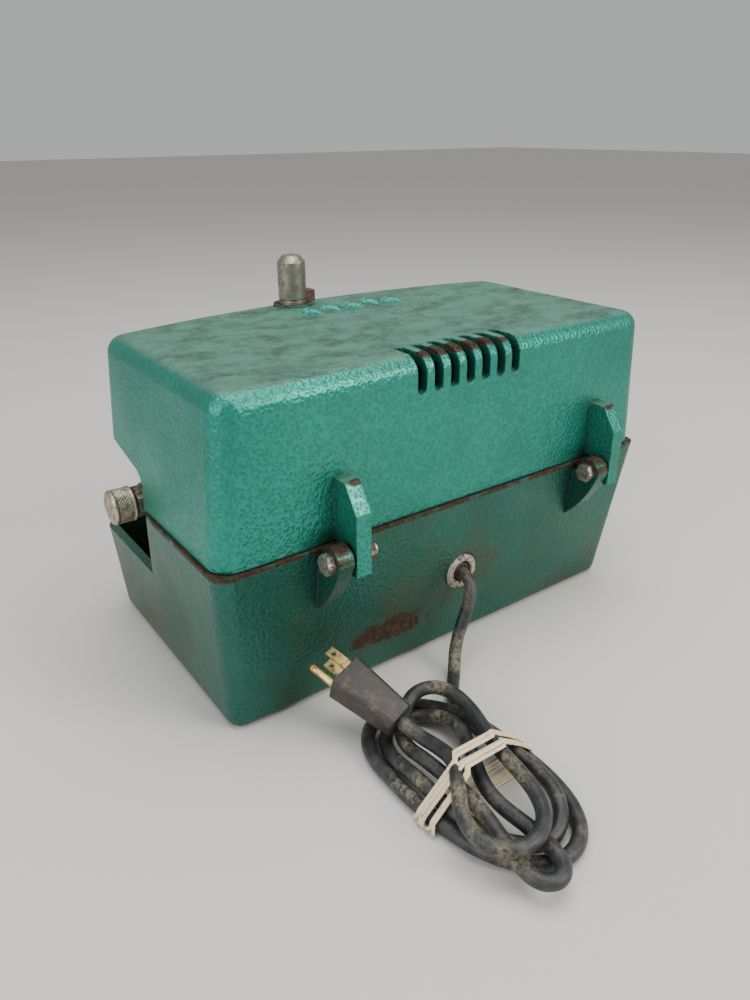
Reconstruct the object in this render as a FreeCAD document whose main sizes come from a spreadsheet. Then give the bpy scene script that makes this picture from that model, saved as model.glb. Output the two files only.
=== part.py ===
import FreeCAD, Part
import math
import os
import re
import Sketcher

Vector = FreeCAD.Vector
Rotation = FreeCAD.Rotation

document = FreeCAD.newDocument("BenchMachine")
sheet = document.addObject("Spreadsheet::Sheet", "Sizes")

# ---------------------------------------------------------------- driving dimensions, millimetres
# The origin is on the floor, under the middle of the base; +X runs to the knob's end, +Y to the rear.
SIZES = {
    # base casting
    "base_length": 326.0,
    "base_depth": 180.0,
    "base_height": 116.0,
    "end_lean": 8.0,
    "rear_lean": 15.0,
    "front_lean": 7.0,
    "base_bow": 20.0,
    "tub_depth": 106.0,
    "tub_front_lean": 13.0,
    "tray_height": 68.0,
    "wall": 6.0,
    "lid_roof": 8.0,
    "base_corner": 10.0,
    "base_round": 8.0,
    "deck_boss_radius": 7.0,
    # lid casting
    "ledge": 2.0,
    "seam_gap": 0.6,
    "lid_height": 96.0,
    "lid_end_lean": 8.0,
    "lid_depth": 160.0,
    "lid_bow": 22.0,
    "foot_depth": 103.0,
    "nose_back_height": 21.0,
    "nose_front_height": 33.0,
    "nose_fillet": 14.0,
    "lid_corner": 14.0,
    "lid_round": 11.0,
    # cooling slots over the lid's rear top edge
    "slot_width": 6.6,
    "slot_pitch": 12.2,
    "slot_count": 7.0,
    "slot_middle": -2.0,
    "slot_drop": 22.0,
    "slot_reach": 25.0,
    # hinges
    "hinge_near": 97.0,
    "hinge_far": -114.5,
    "lug_thickness": 10.0,
    "lug_gap": 2.0,
    "pivot_offset": 10.9,
    "pivot_drop": 4.5,
    "pivot_knuckle": 9.5,
    "lug_outer": 8.5,
    "lug_heel": 10.3,
    "lid_lug_rise": 44.0,
    "lid_lug_root": 11.0,
    "base_lug_drop": 38.0,
    "bolt_radius": 3.175,
    "bolt_head_flats": 11.1,
    "bolt_head_height": 4.6,
    "bolt_end": 2.5,
    "nut_height": 5.4,
    "running": 0.05,
    "apart": 0.3,
    # post on the lid
    "post_x": 21.0,
    "post_y": -62.0,
    "post_radius": 9.9,
    "post_rise": 34.5,
    "post_depth": 18.0,
    "post_chamfer": 3.8,
    "post_groove": 0.8,
    "post_boss_radius": 14.0,
    "post_boss_rise": 1.6,
    "clamp_block": 9.0,
    "clamp_rise": 8.0,
    # cord bushing in the rear wall
    "cord_exit_x": -6.5,
    "cord_exit_height": 58.0,
    "cord_radius": 4.2,
    "seat_depth": 0.9,
    "bushing_flange": 12.6,
    "bushing_barrel": 10.4,
    "bushing_bore": 7.4,
    "bushing_lip": 3.2,
    "bushing_length": 16.0,
    # deck, drive and rotor
    "deck_drop": 56.0,
    "deck_thickness": 2.5,
    "deck_edge": 3.0,
    "deck_screw_radius": 2.4,
    "rotor_x": 62.0,
    "drive_forward": 4.0,
    "bowl_radius": 40.0,
    "bowl_wall": 1.6,
    "bowl_height": 50.0,
    "rotor_radius": 35.0,
    "rotor_top_radius": 23.0,
    "rotor_lift": 16.0,
    "rotor_height": 34.0,
    "tube_radius": 5.4,
    "tube_depth": 28.0,
    "tube_angle": 28.0,
    "tube_circle": 14.0,
    "tube_count": 6.0,
    "spindle_radius": 4.0,
    "spindle_thread": 11.0,
    "housing_radius": 15.0,
    "housing_length": 33.5,
    "housing_flange": 22.0,
    "bearing_radius": 11.0,
    "bearing_width": 7.0,
    "motor_x": -85.0,
    "motor_radius": 32.0,
    "bell_wall": 3.0,
    "brush_radius": 4.0,
    "motor_shaft_radius": 3.0,
    "motor_shaft_top": 88.0,
    "bell_height": 22.0,
    "field_height": 40.0,
    "field_bore": 19.0,
    "armature_radius": 18.4,
    "commutator_radius": 9.0,
    "motor_bearing_radius": 8.0,
    "motor_bearing_width": 5.0,
    "pulley_drop": 49.0,
    "pulley_width": 9.0,
    "motor_pulley_radius": 12.0,
    "spindle_pulley_radius": 18.0,
    "belt_radius": 1.8,
    # speed control in the recess under the lid's nose
    "ear_inset": 5.5,
    "control_forward": 16.0,
    "control_drop": 1.0,
    "ear_thickness": 4.0,
    "ear_radius": 11.5,
    "control_radius": 12.0,
    "control_depth": 20.0,
    "control_bushing": 4.7,
    "control_shaft": 3.0,
    "fibre_washer": 1.2,
    "bushing_nut_flats": 19.0,
    "bushing_nut_height": 6.5,
    "knob_radius": 11.2,
    "knob_length": 15.0,
    "knob_gap": 1.0,
    # terminal block
    "block_x": 10.0,
    "block_length": 46.0,
    "block_depth": 18.0,
    "block_height": 14.0,
    # plug and coiled cord
    "plug_length": 42.0,
    "plug_width": 20.0,
    "plug_thickness": 24.0,
    "plug_round": 3.0,
    "tail_length": 14.0,
    "blade_length": 16.0,
    "blade_width": 6.35,
    "blade_thickness": 1.5,
    "blade_spacing": 12.7,
    "ground_radius": 2.4,
    "ground_offset": 11.9,
    "ground_length": 20.0,
    "hank_x": 73.0,
    "hank_behind": 99.0,
    "hank_length": 156.0,
    "hank_width": 74.0,
    "hank_height": 25.0,
    "hank_step": 13.0,
    "band_width": 13.0,
    "band_thickness": 1.8,
}
for row, (alias, size) in enumerate(SIZES.items(), start=1):
    sheet.set("A%d" % row, alias)
    sheet.set("B%d" % row, "%g" % size)
    sheet.setAlias("B%d" % row, alias)
document.recompute()

# ---------------------------------------------------------------- short forms for sizes
REAR = "(base_depth / 2 + rear_lean)"
LID_REAR = "(base_depth / 2 + rear_lean - ledge)"
SEAM = "(base_height + seam_gap)"
LID_TOP = "(base_height + seam_gap + lid_height)"
PIVOT_Y = "(base_depth / 2 + rear_lean + pivot_offset)"
PIVOT_Z = "(base_height - pivot_drop)"
LID_HALF = "(base_length / 2 + end_lean - ledge)"
LID_FRONT = "(base_depth / 2 + rear_lean - ledge - lid_depth)"
FOOT_FRONT = "(base_depth / 2 + rear_lean - ledge - foot_depth)"
TUB_FRONT = "(base_depth / 2 + rear_lean - tub_depth)"
TUB_INSIDE = "(base_depth / 2 + rear_lean - tub_depth - tub_front_lean + wall)"
DRIVE_Y = "(base_depth / 2 + rear_lean - tub_depth / 2 - drive_forward)"
DECK_TOP = "(base_height - deck_drop)"
DECK_UNDER = "(base_height - deck_drop - deck_thickness)"
DECK_REAR = "(base_depth / 2 - deck_edge)"
DECK_FRONT = "(%s + wall - tub_front_lean * deck_drop / (base_height - wall) + deck_edge)" % TUB_FRONT
DECK_ROWS = (DECK_FRONT + " + 8", DECK_REAR + " - 10")
EAR_X = "(base_length / 2 - ear_inset)"
CONTROL_Y = "(base_depth / 2 + rear_lean - tub_depth - control_forward)"
SPINDLE_STEP = "(rotor_lift + rotor_height - 1)"
HANK_Y = "(base_depth / 2 + rear_lean + hank_behind)"
CONTROL_Z = "(base_height - control_drop)"
EXIT_Y = "(base_depth / 2 + rear_lean * cord_exit_height / base_height - seat_depth)"
TRAY_SHARE = "(tray_height / base_height)"
QUARTER = " * (1 - sqrt(0.5))"
TRAY_HALF = "(base_length / 2 + end_lean * " + TRAY_SHARE + " - wall)"
TRAY_FRONT = "(-base_depth / 2 - front_lean * " + TRAY_SHARE + " + wall)"


def bound(text):
    """The expression with each size's alias looked up in the sheet."""
    return re.sub(r"[a-z][a-z_]*", lambda word: "Sizes." + word[0] if word[0] in SIZES else word[0], text)


def value(text):
    """The number that an expression in the sheet's sizes gives now."""
    return float(sheet.evalExpression(bound(str(text))))


def bind(feature, prop, text):
    feature.setExpression(prop, bound(str(text)))


# ---------------------------------------------------------------- sketches and features
def origin_plane(body, role):
    for feature in body.Origin.OriginFeatures:
        if feature.Role == role:
            return feature
    raise ValueError(role)


def new_body(label):
    body = document.addObject("PartDesign::Body", label)
    body.Label = label
    return body


def place(body, x="0", y="0", z="0", rotation=None):
    """Put a body at a point given by sizes, turned by a fixed rotation."""
    body.Placement = FreeCAD.Placement(Vector(value(x), value(y), value(z)), rotation or Rotation())
    bind(body, "Placement.Base.x", x)
    bind(body, "Placement.Base.y", y)
    bind(body, "Placement.Base.z", z)


def new_sketch(body, role, offset="0"):
    sketch = body.newObject("Sketcher::SketchObject", "sketch")
    sketch.AttachmentSupport = [(origin_plane(body, role), "")]
    sketch.MapMode = "FlatFace"
    sketch.AttachmentOffset = FreeCAD.Placement(Vector(0, 0, value(offset)), Rotation())
    bind(sketch, "AttachmentOffset.Base.z", offset)
    return sketch


def pin_down(sketch, geometry, vertex, u, v):
    """Hold one vertex at a place given by sizes, measured from the sketch's origin."""
    for kind, text in (("DistanceX", u), ("DistanceY", v)):
        index = sketch.addConstraint(
            Sketcher.Constraint(kind, -1, 1, geometry, vertex, value(text)))
        bind(sketch, "Constraints[%d]" % index, text)


def arc_side(first, last, sagitta):
    """Arc from one point to the next, bulging to the left of its travel by the sagitta."""
    chord = last - first
    left = Vector(-chord.y, chord.x, 0).normalize()
    half = chord.Length / 2
    radius = (half * half + sagitta * sagitta) / (2 * abs(sagitta))
    towards = 1 if sagitta > 0 else -1
    centre = (first + last) / 2 + left * (sagitta - towards * radius)
    start, end = (last, first) if sagitta > 0 else (first, last)
    angles = [math.atan2(p.y - centre.y, p.x - centre.x) for p in (start, end)]
    if angles[1] < angles[0]:
        angles[1] += 2 * math.pi
    arc = Part.ArcOfCircle(Part.Circle(centre, Vector(0, 0, 1), radius), angles[0], angles[1])
    return arc, (2, 1) if sagitta > 0 else (1, 2)


def outline(sketch, points):
    """Closed outline through points (u, v) or (u, v, sagitta of the side that starts there)."""
    corners = [Vector(value(p[0]), value(p[1]), 0) for p in points]
    ends = []
    for index, point in enumerate(points):
        first, last = corners[index], corners[(index + 1) % len(points)]
        if len(point) == 3:
            arc, order = arc_side(first, last, value(point[2]))
            side = sketch.addGeometry(arc)
            following = points[(index + 1) % len(points)]
            run = "((%s) - (%s))" % (following[0], point[0])
            rise = "((%s) - (%s))" % (following[1], point[1])
            quarter = "((%s ^ 2 + %s ^ 2) / 4)" % (run, rise)
            sag = "abs(%s)" % point[2]
            held = sketch.addConstraint(Sketcher.Constraint("Radius", side, arc.Radius))
            bind(sketch, "Constraints[%d]" % held, "(%s + %s ^ 2) / (2 * %s)" % (quarter, sag, sag))
        else:
            side = sketch.addGeometry(Part.LineSegment(first, last))
            order = (1, 2)
        ends.append((side, order))
    for index, point in enumerate(points):
        side, order = ends[index]
        before, before_order = ends[index - 1]
        sketch.addConstraint(Sketcher.Constraint("Coincident", before, before_order[1], side, order[0]))
        pin_down(sketch, side, order[0], point[0], point[1])
    return sketch


def ring(sketch, u, v, radius):
    """Add a circle to a sketch."""
    circle = sketch.addGeometry(Part.Circle(Vector(value(u), value(v), 0), Vector(0, 0, 1), value(radius)))
    pin_down(sketch, circle, 3, u, v)
    index = sketch.addConstraint(Sketcher.Constraint("Radius", circle, value(radius)))
    bind(sketch, "Constraints[%d]" % index, radius)
    return sketch


def pad(body, sketch, length, midplane=False, backwards=False):
    feature = body.newObject("PartDesign::Pad", "pad")
    feature.Profile = sketch
    feature.Length = value(length)
    bind(feature, "Length", length)
    feature.Midplane = midplane
    feature.Reversed = backwards
    document.recompute()
    return feature


def pocket(body, sketch, length, midplane=False, backwards=False):
    """Cut a sketch's outline to a depth, and make sure that it cut something."""
    before = body.Shape.Volume
    feature = body.newObject("PartDesign::Pocket", "pocket")
    feature.Profile = sketch
    feature.Length = value(length)
    bind(feature, "Length", length)
    feature.Midplane = midplane
    feature.Reversed = backwards
    document.recompute()
    if feature.Shape.Volume > before - 0.5:
        raise ValueError("a pocket in %s cuts nothing" % body.Label)
    return feature


def turned(label, profile):
    """Body turned about its own Z axis from an outline of (radius, height) points."""
    body = new_body(label)
    sketch = outline(new_sketch(body, "XZ_Plane"), profile)
    feature = body.newObject("PartDesign::Revolution", "turning")
    feature.Profile = sketch
    feature.ReferenceAxis = (sketch, ["V_Axis"])
    feature.Angle = 360
    document.recompute()
    return body


def edges_where(feature, test):
    return ["Edge%d" % (n + 1) for n, edge in enumerate(feature.Shape.Edges) if test(edge)]


def faces_where(feature, test):
    return ["Face%d" % (n + 1) for n, face in enumerate(feature.Shape.Faces) if test(face)]


def round_edges(body, feature, edges, radius):
    if not edges:
        raise ValueError("no edges to round in %s" % body.Label)
    fillet = body.newObject("PartDesign::Fillet", "rounding")
    fillet.Base = (feature, edges)
    fillet.Radius = value(radius)
    bind(fillet, "Radius", radius)
    document.recompute()
    return fillet


def centre_of(edge):
    return edge.BoundBox.Center


def hexagon(sketch, flats, u, v):
    """Hexagon about a point given by sizes, of a given distance across its flats."""
    corner = "(%s / sqrt(3))" % flats
    points = []
    for step in range(6):
        points.append(("%s + %s * cos(%d)" % (u, corner, 60 * step), "%s + %s * sin(%d)" % (v, corner, 60 * step)))
    return outline(sketch, points)


# ---------------------------------------------------------------- base casting
# A sand casting: a deep tub behind, a shallow tray with a bowed front before it, walls that lean
# out towards the rim, two hinge lugs behind and an ear for the speed control in front of the tub.
def plan(sketch, half_length, rear, front, bow):
    """Casting seen from above: straight rear and ends, bowed front."""
    return outline(sketch, [
        ("-" + half_length, rear),
        ("-" + half_length, front, "-" + bow),
        (half_length, front),
        (half_length, rear),
    ])


def plan_box(sketch, half_length, rear, front):
    """Rectangle seen from above."""
    return outline(sketch, [
        ("-" + half_length, rear),
        ("-" + half_length, front),
        (half_length, front),
        (half_length, rear),
    ])


def loft(body, lower, upper):
    feature = body.newObject("PartDesign::AdditiveLoft", "blank")
    feature.Profile = lower
    feature.Sections = [upper]
    feature.Ruled = True
    document.recompute()
    return feature


def hollow(body, lower, upper):
    """Cut the space between two outlines at different heights."""
    before = body.Shape.Volume
    feature = body.newObject("PartDesign::SubtractiveLoft", "hollow")
    feature.Profile = lower
    feature.Sections = [upper]
    feature.Ruled = True
    document.recompute()
    if feature.Shape.Volume > before - 0.5:
        raise ValueError("a hollow in %s cuts nothing" % body.Label)
    return feature


def upright(edge):
    """An edge that climbs more than it goes sideways."""
    box = edge.BoundBox
    return box.ZLength > 20 and box.ZLength > 2 * box.YLength and box.ZLength > 2 * box.XLength


def drill_along_x(body, y, z, radius):
    """Hole through everything on a line along X."""
    return pocket(body, ring(new_sketch(body, "YZ_Plane"), y, z, radius), "2 * base_length", midplane=True)


def base_casting():
    body = new_body("base_casting")
    lower = plan(new_sketch(body, "XY_Plane"), "(base_length / 2)", "base_depth / 2",
                 "-base_depth / 2", "base_bow")
    upper = plan(new_sketch(body, "XY_Plane", "base_height"), "(base_length / 2 + end_lean)", REAR,
                 "-base_depth / 2 - front_lean", "base_bow")
    blank = loft(body, lower, upper)
    step = outline(new_sketch(body, "YZ_Plane"), [
        (TUB_FRONT, "base_height + wall"),
        (TUB_FRONT, "base_height"),
        (TUB_FRONT + " - tub_front_lean", "tray_height"),
        ("-base_depth", "tray_height"),
        ("-base_depth", "base_height + wall"),
    ])
    feature = pocket(body, step, "2 * base_length", midplane=True)
    feature = round_edges(body, feature, edges_where(feature, upright), "base_corner")
    under = edges_where(feature, lambda edge: edge.BoundBox.ZMax < 0.01)
    feature = round_edges(body, feature, under, "base_round")
    tub_floor = plan_box(new_sketch(body, "XY_Plane", "wall"), "(base_length / 2 - wall)",
                         "base_depth / 2 - wall", TUB_INSIDE)
    tub_rim = plan_box(new_sketch(body, "XY_Plane", "base_height"), "(base_length / 2 + end_lean - wall)",
                       REAR + " - wall", TUB_FRONT + " + wall")
    hollow(body, tub_floor, tub_rim)
    tray_floor = plan(new_sketch(body, "XY_Plane", "wall"), "(base_length / 2 - wall)",
                      TUB_FRONT + " - tub_front_lean - wall", "-base_depth / 2 + wall", "base_bow")
    tray_rim = plan(new_sketch(body, "XY_Plane", "tray_height"), TRAY_HALF,
                    TUB_FRONT + " - tub_front_lean", TRAY_FRONT, "base_bow")
    hollow(body, tray_floor, tray_rim)
    for side in ("-1", "1"):
        for row in DECK_ROWS:
            boss = ring(new_sketch(body, "XY_Plane", "wall / 2"), side + " * (base_length / 2 - 25)", row,
                        "deck_boss_radius")
            pad(body, boss, DECK_UNDER + " - wall / 2")
            hole = ring(new_sketch(body, "XY_Plane", DECK_UNDER), side + " * (base_length / 2 - 25)", row,
                        "deck_screw_radius + running")
            pocket(body, hole, "20")
    for hinge in ("hinge_near", "hinge_far"):
        lug = outline(new_sketch(body, "YZ_Plane", hinge + " + lug_gap / 2"), [
            (REAR + " - wall / 2", PIVOT_Z + " - 4"),
            (REAR + " - rear_lean / 2 - wall / 2", PIVOT_Z + " - base_lug_drop"),
            (REAR + " - rear_lean / 3", PIVOT_Z + " - base_lug_drop", "-3"),
            (PIVOT_Y + " + pivot_knuckle", PIVOT_Z, "-pivot_knuckle" + QUARTER),
            (PIVOT_Y, PIVOT_Z + " + pivot_knuckle", "-pivot_knuckle" + QUARTER),
            (PIVOT_Y + " - pivot_knuckle", PIVOT_Z),
        ])
        pad(body, lug, "lug_thickness")
    ear = outline(new_sketch(body, "YZ_Plane", EAR_X), [
        (REAR + " - tub_depth + wall / 2", CONTROL_Z + " - ear_radius"),
        (REAR + " - tub_depth + wall / 2", "base_height - 1"),
        (CONTROL_Y, CONTROL_Z + " + ear_radius", "ear_radius" + QUARTER),
        (CONTROL_Y + " - ear_radius", CONTROL_Z, "ear_radius" + QUARTER),
        (CONTROL_Y, CONTROL_Z + " - ear_radius"),
    ])
    pad(body, ear, "ear_thickness")
    drill_along_x(body, PIVOT_Y, PIVOT_Z, "bolt_radius + running")
    bore = ring(new_sketch(body, "YZ_Plane", EAR_X + " - 1"), CONTROL_Y, CONTROL_Z,
                "control_bushing + running")
    pocket(body, bore, "ear_thickness + 2", backwards=True)
    knockout = ring(new_sketch(body, "XZ_Plane", "rear_lean - base_depth / 2"), "cord_exit_x",
                    "cord_exit_height", "bushing_barrel + running")
    pocket(body, knockout, "3 * rear_lean")
    seat = ring(new_sketch(body, "XZ_Plane", "-" + EXIT_Y), "cord_exit_x", "cord_exit_height",
                "bushing_flange + 0.6")
    pocket(body, seat, "2 * rear_lean")
    return body


# ---------------------------------------------------------------- lid casting
# Cast like the base, hollow and open below: a foot that stands on the tub's rim, a nose with a bowed
# front that reaches over the tray, seven cooling slots, hinge lugs and a bored boss for the post.
def cut_corner_plan(sketch, half_length, rear, front, bow):
    """Inside of the nose seen from above, with its two front corners cut off by a wall's thickness."""
    return outline(sketch, [
        ("-" + half_length, rear),
        ("-" + half_length, front + " + wall"),
        ("wall - " + half_length, front, "-" + bow),
        (half_length + " - wall", front),
        (half_length, front + " + wall"),
        (half_length, rear),
    ])


def lid_casting():
    body = new_body("lid_casting")
    lower = plan(new_sketch(body, "XY_Plane", SEAM), LID_HALF, LID_REAR, LID_FRONT, "lid_bow")
    upper = plan(new_sketch(body, "XY_Plane", LID_TOP), "(" + LID_HALF + " - lid_end_lean)", LID_REAR,
                 LID_FRONT, "lid_bow")
    loft(body, lower, upper)
    reach = "(lid_bow + 5)"
    slope = "((nose_front_height - nose_back_height) / (lid_depth - foot_depth))"
    under_nose = outline(new_sketch(body, "YZ_Plane"), [
        (FOOT_FRONT, "base_height"),
        (FOOT_FRONT, SEAM + " + nose_back_height"),
        (LID_FRONT + " - " + reach,
         SEAM + " + nose_back_height + " + slope + " * (lid_depth - foot_depth + " + reach + ")"),
        (LID_FRONT + " - " + reach, "base_height"),
    ])
    feature = pocket(body, under_nose, "2 * base_length", midplane=True)
    foot_corner = value(FOOT_FRONT)

    def outer_upright(edge):
        return upright(edge) and abs(centre_of(edge).y - foot_corner) > 15

    feature = round_edges(body, feature, edges_where(feature, outer_upright), "lid_corner")
    hollow_corner = value(SEAM + " + nose_back_height")

    def under_corner(edge):
        box = edge.BoundBox
        return box.XLength > 100 and abs(box.Center.z - hollow_corner) < 0.5 and abs(
            box.Center.y - foot_corner) < 0.5

    feature = round_edges(body, feature, edges_where(feature, under_corner), "nose_fillet")
    top = value(LID_TOP)
    feature = round_edges(body, feature, edges_where(feature, lambda e: e.BoundBox.ZMin > top - 0.01),
                          "lid_round")
    foot_low = plan_box(new_sketch(body, "XY_Plane", SEAM), "(" + LID_HALF + " - wall)",
                        LID_REAR + " - wall", FOOT_FRONT + " + wall")
    foot_high = plan_box(new_sketch(body, "XY_Plane", LID_TOP + " - lid_roof"),
                         "(" + LID_HALF + " - lid_end_lean - wall)", LID_REAR + " - wall",
                         FOOT_FRONT + " + wall")
    hollow(body, foot_low, foot_high)
    nose_floor = SEAM + " + nose_front_height + wall"
    share = "lid_end_lean * (nose_front_height + wall) / lid_height"
    nose_low = cut_corner_plan(new_sketch(body, "XY_Plane", nose_floor), "(" + LID_HALF + " - wall - " + share + ")",
                               FOOT_FRONT + " + 2 * wall", LID_FRONT + " + wall", "lid_bow")
    nose_high = cut_corner_plan(new_sketch(body, "XY_Plane", LID_TOP + " - lid_roof"),
                                "(" + LID_HALF + " - lid_end_lean - wall)", FOOT_FRONT + " + 2 * wall",
                                LID_FRONT + " + wall", "lid_bow")
    hollow(body, nose_low, nose_high)
    slots(body)
    boss = ring(new_sketch(body, "XY_Plane", LID_TOP + " + post_boss_rise"), "post_x", "post_y",
                "post_boss_radius")
    pad(body, boss, "post_depth + post_boss_rise", backwards=True)
    bore = ring(new_sketch(body, "XY_Plane", LID_TOP + " + post_boss_rise"), "post_x", "post_y",
                "post_radius + running")
    pocket(body, bore, "post_depth + 2 * post_boss_rise")
    for hinge in ("hinge_near", "hinge_far"):
        lug = outline(new_sketch(body, "YZ_Plane", hinge + " - lug_gap / 2 - lug_thickness"), [
            (LID_REAR + " - wall / 2", SEAM + " + 1"),
            (LID_REAR + " - wall / 2", PIVOT_Z + " + lid_lug_rise"),
            (LID_REAR + " + lid_lug_root", PIVOT_Z + " + lid_lug_rise"),
            (PIVOT_Y + " + lug_outer", PIVOT_Z + " + 0.64 * lid_lug_rise"),
            (PIVOT_Y + " + lug_outer", PIVOT_Z + " - lug_heel"),
            (PIVOT_Y, PIVOT_Z + " - lug_heel", "lug_heel" + QUARTER),
            (PIVOT_Y + " - lug_heel", PIVOT_Z),
            (PIVOT_Y + " - lug_heel", SEAM + " + 1"),
        ])
        pad(body, lug, "lug_thickness")
    drill_along_x(body, PIVOT_Y, PIVOT_Z, "bolt_radius + running")
    return body


def slots(body):
    """Seven slots with round ends, down the rear face and in over the top."""
    behind = new_sketch(body, "XZ_Plane", "-(" + LID_REAR + " + 5)")
    above = new_sketch(body, "XY_Plane", LID_TOP + " + 1")
    half = "slot_width / 2"
    for number in range(int(value("slot_count"))):
        middle = "slot_middle + slot_pitch * (%d - (slot_count - 1) / 2)" % number
        low = LID_TOP + " - slot_drop"
        outline(behind, [
            (middle + " - " + half, LID_TOP + " + 1"),
            (middle + " - " + half, low + " + " + half, "-slot_width / 2" + QUARTER),
            (middle, low, "-slot_width / 2" + QUARTER),
            (middle + " + " + half, low + " + " + half),
            (middle + " + " + half, LID_TOP + " + 1"),
        ])
        inner = LID_REAR + " - slot_reach"
        outline(above, [
            (middle + " + " + half, LID_REAR + " + 1"),
            (middle + " - " + half, LID_REAR + " + 1"),
            (middle + " - " + half, inner + " + " + half, "-slot_width / 2" + QUARTER),
            (middle, inner, "-slot_width / 2" + QUARTER),
            (middle + " + " + half, inner + " + " + half),
        ])
    pocket(body, behind, "5 + 2 * wall", backwards=True)
    pocket(body, above, "1 + lid_roof + wall / 2")


# ---------------------------------------------------------------- post and its clamp
def lift_post():
    """Turned steel post with a bevelled top and a thin groove near its foot."""
    body = turned("lift_post", [
        ("0", "1 - post_depth"),
        ("post_radius", "1 - post_depth"),
        ("post_radius", "3.6"),
        ("post_radius - post_groove", "4"),
        ("post_radius - post_groove", "4.6"),
        ("post_radius", "5"),
        ("post_radius", "post_rise - 1.2 * post_chamfer"),
        ("post_radius - post_chamfer", "post_rise"),
        ("0", "post_rise"),
    ])
    place(body, "post_x", "post_y", LID_TOP)


def post_clamp():
    """Small iron block beside the post, hollowed to fit its side, screwed to the boss."""
    body = new_body("post_clamp")
    near = "(post_x - post_radius + 3)"
    block = outline(new_sketch(body, "XY_Plane", LID_TOP + " + post_boss_rise"), [
        (near, "post_y - clamp_block / 2"),
        (near, "post_y + clamp_block / 2"),
        (near + " - clamp_block", "post_y + clamp_block / 2"),
        (near + " - clamp_block", "post_y - clamp_block / 2"),
    ])
    pad(body, block, "clamp_rise")
    seat = ring(new_sketch(body, "XY_Plane", LID_TOP + " + post_boss_rise"), "post_x", "post_y",
                "post_radius + running")
    pocket(body, seat, "clamp_rise", backwards=True)


# ---------------------------------------------------------------- hinge bolts and nuts
HINGES = ("hinge_near", "hinge_far")


def hinge_bolts():
    """Two hexagon bolts, heads on the base lugs' side."""
    body = new_body("hinge_bolts")
    for hinge in HINGES:
        head = new_sketch(body, "YZ_Plane", hinge + " + lug_gap / 2 + lug_thickness")
        hexagon(head, "bolt_head_flats", PIVOT_Y, PIVOT_Z)
        pad(body, head, "bolt_head_height")
        shank = ring(new_sketch(body, "YZ_Plane", hinge + " + lug_gap / 2 + lug_thickness"), PIVOT_Y, PIVOT_Z,
                     "bolt_radius")
        pad(body, shank, "2 * lug_thickness + lug_gap + nut_height + apart + bolt_end", backwards=True)


def hinge_nuts():
    body = new_body("hinge_nuts")
    for hinge in HINGES:
        nut = new_sketch(body, "YZ_Plane", hinge + " - lug_gap / 2 - lug_thickness - apart")
        hexagon(nut, "bolt_head_flats", PIVOT_Y, PIVOT_Z)
        ring(nut, PIVOT_Y, PIVOT_Z, "bolt_radius + running")
        pad(body, nut, "nut_height", backwards=True)


# ---------------------------------------------------------------- cord entry and terminals
OUT_OF_REAR = Rotation(Vector(1, 0, 0), -90)
ALONG_X = Rotation(Vector(0, 1, 0), 90)


def cord_bushing():
    """Turned metal bushing with a rolled lip, pushed through the rear wall from outside."""
    body = turned("cord_bushing", [
        ("bushing_bore", "-bushing_length"),
        ("bushing_barrel", "-bushing_length"),
        ("bushing_barrel", "0"),
        ("bushing_flange", "0"),
        ("bushing_flange", "bushing_lip / 2"),
        ("bushing_flange - 1.8", "bushing_lip"),
        ("bushing_bore + 1", "bushing_lip"),
        ("bushing_bore", "bushing_lip - 1"),
    ])
    place(body, "cord_exit_x", EXIT_Y, "cord_exit_height", OUT_OF_REAR)


def bushing_locknut():
    body = turned("bushing_locknut", [
        ("bushing_barrel + running", "-bushing_length + 2"),
        ("bushing_flange + 2", "-bushing_length + 2"),
        ("bushing_flange + 2", "-bushing_length + 5"),
        ("bushing_barrel + running", "-bushing_length + 5"),
    ])
    place(body, "cord_exit_x", EXIT_Y, "cord_exit_height", OUT_OF_REAR)


def strain_relief():
    """Rubber sleeve that grips the cord inside the bushing."""
    body = turned("strain_relief", [
        ("cord_radius + running", "-bushing_length"),
        ("bushing_bore - running", "-bushing_length"),
        ("bushing_bore - running", "0"),
        ("cord_radius + 1.4", "bushing_lip - 1"),
        ("cord_radius + running", "bushing_lip - 1"),
    ])
    place(body, "cord_exit_x", EXIT_Y, "cord_exit_height", OUT_OF_REAR)


def terminal_block():
    """Moulded block of four screw terminals on the tub floor, behind the deck's middle."""
    body = new_body("terminal_block")
    base = outline(new_sketch(body, "XY_Plane", "wall + apart"), [
        ("block_x - block_length / 2", DRIVE_Y + " - block_depth / 2"),
        ("block_x + block_length / 2", DRIVE_Y + " - block_depth / 2"),
        ("block_x + block_length / 2", DRIVE_Y + " + block_depth / 2"),
        ("block_x - block_length / 2", DRIVE_Y + " + block_depth / 2"),
    ])
    pad(body, base, "block_height")
    wells = new_sketch(body, "XY_Plane", "wall + apart + block_height")
    for number in range(4):
        ring(wells, "block_x + block_length * (%d - 1.5) / 4.4" % number, DRIVE_Y, "block_depth / 5")
    pocket(body, wells, "block_height / 2")
    screws = new_body("terminal_screws")
    heads = new_sketch(screws, "XY_Plane", "wall + apart + block_height / 2")
    for number in range(4):
        ring(heads, "block_x + block_length * (%d - 1.5) / 4.4" % number, DRIVE_Y, "block_depth / 7")
    pad(screws, heads, "block_height / 5")


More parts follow.
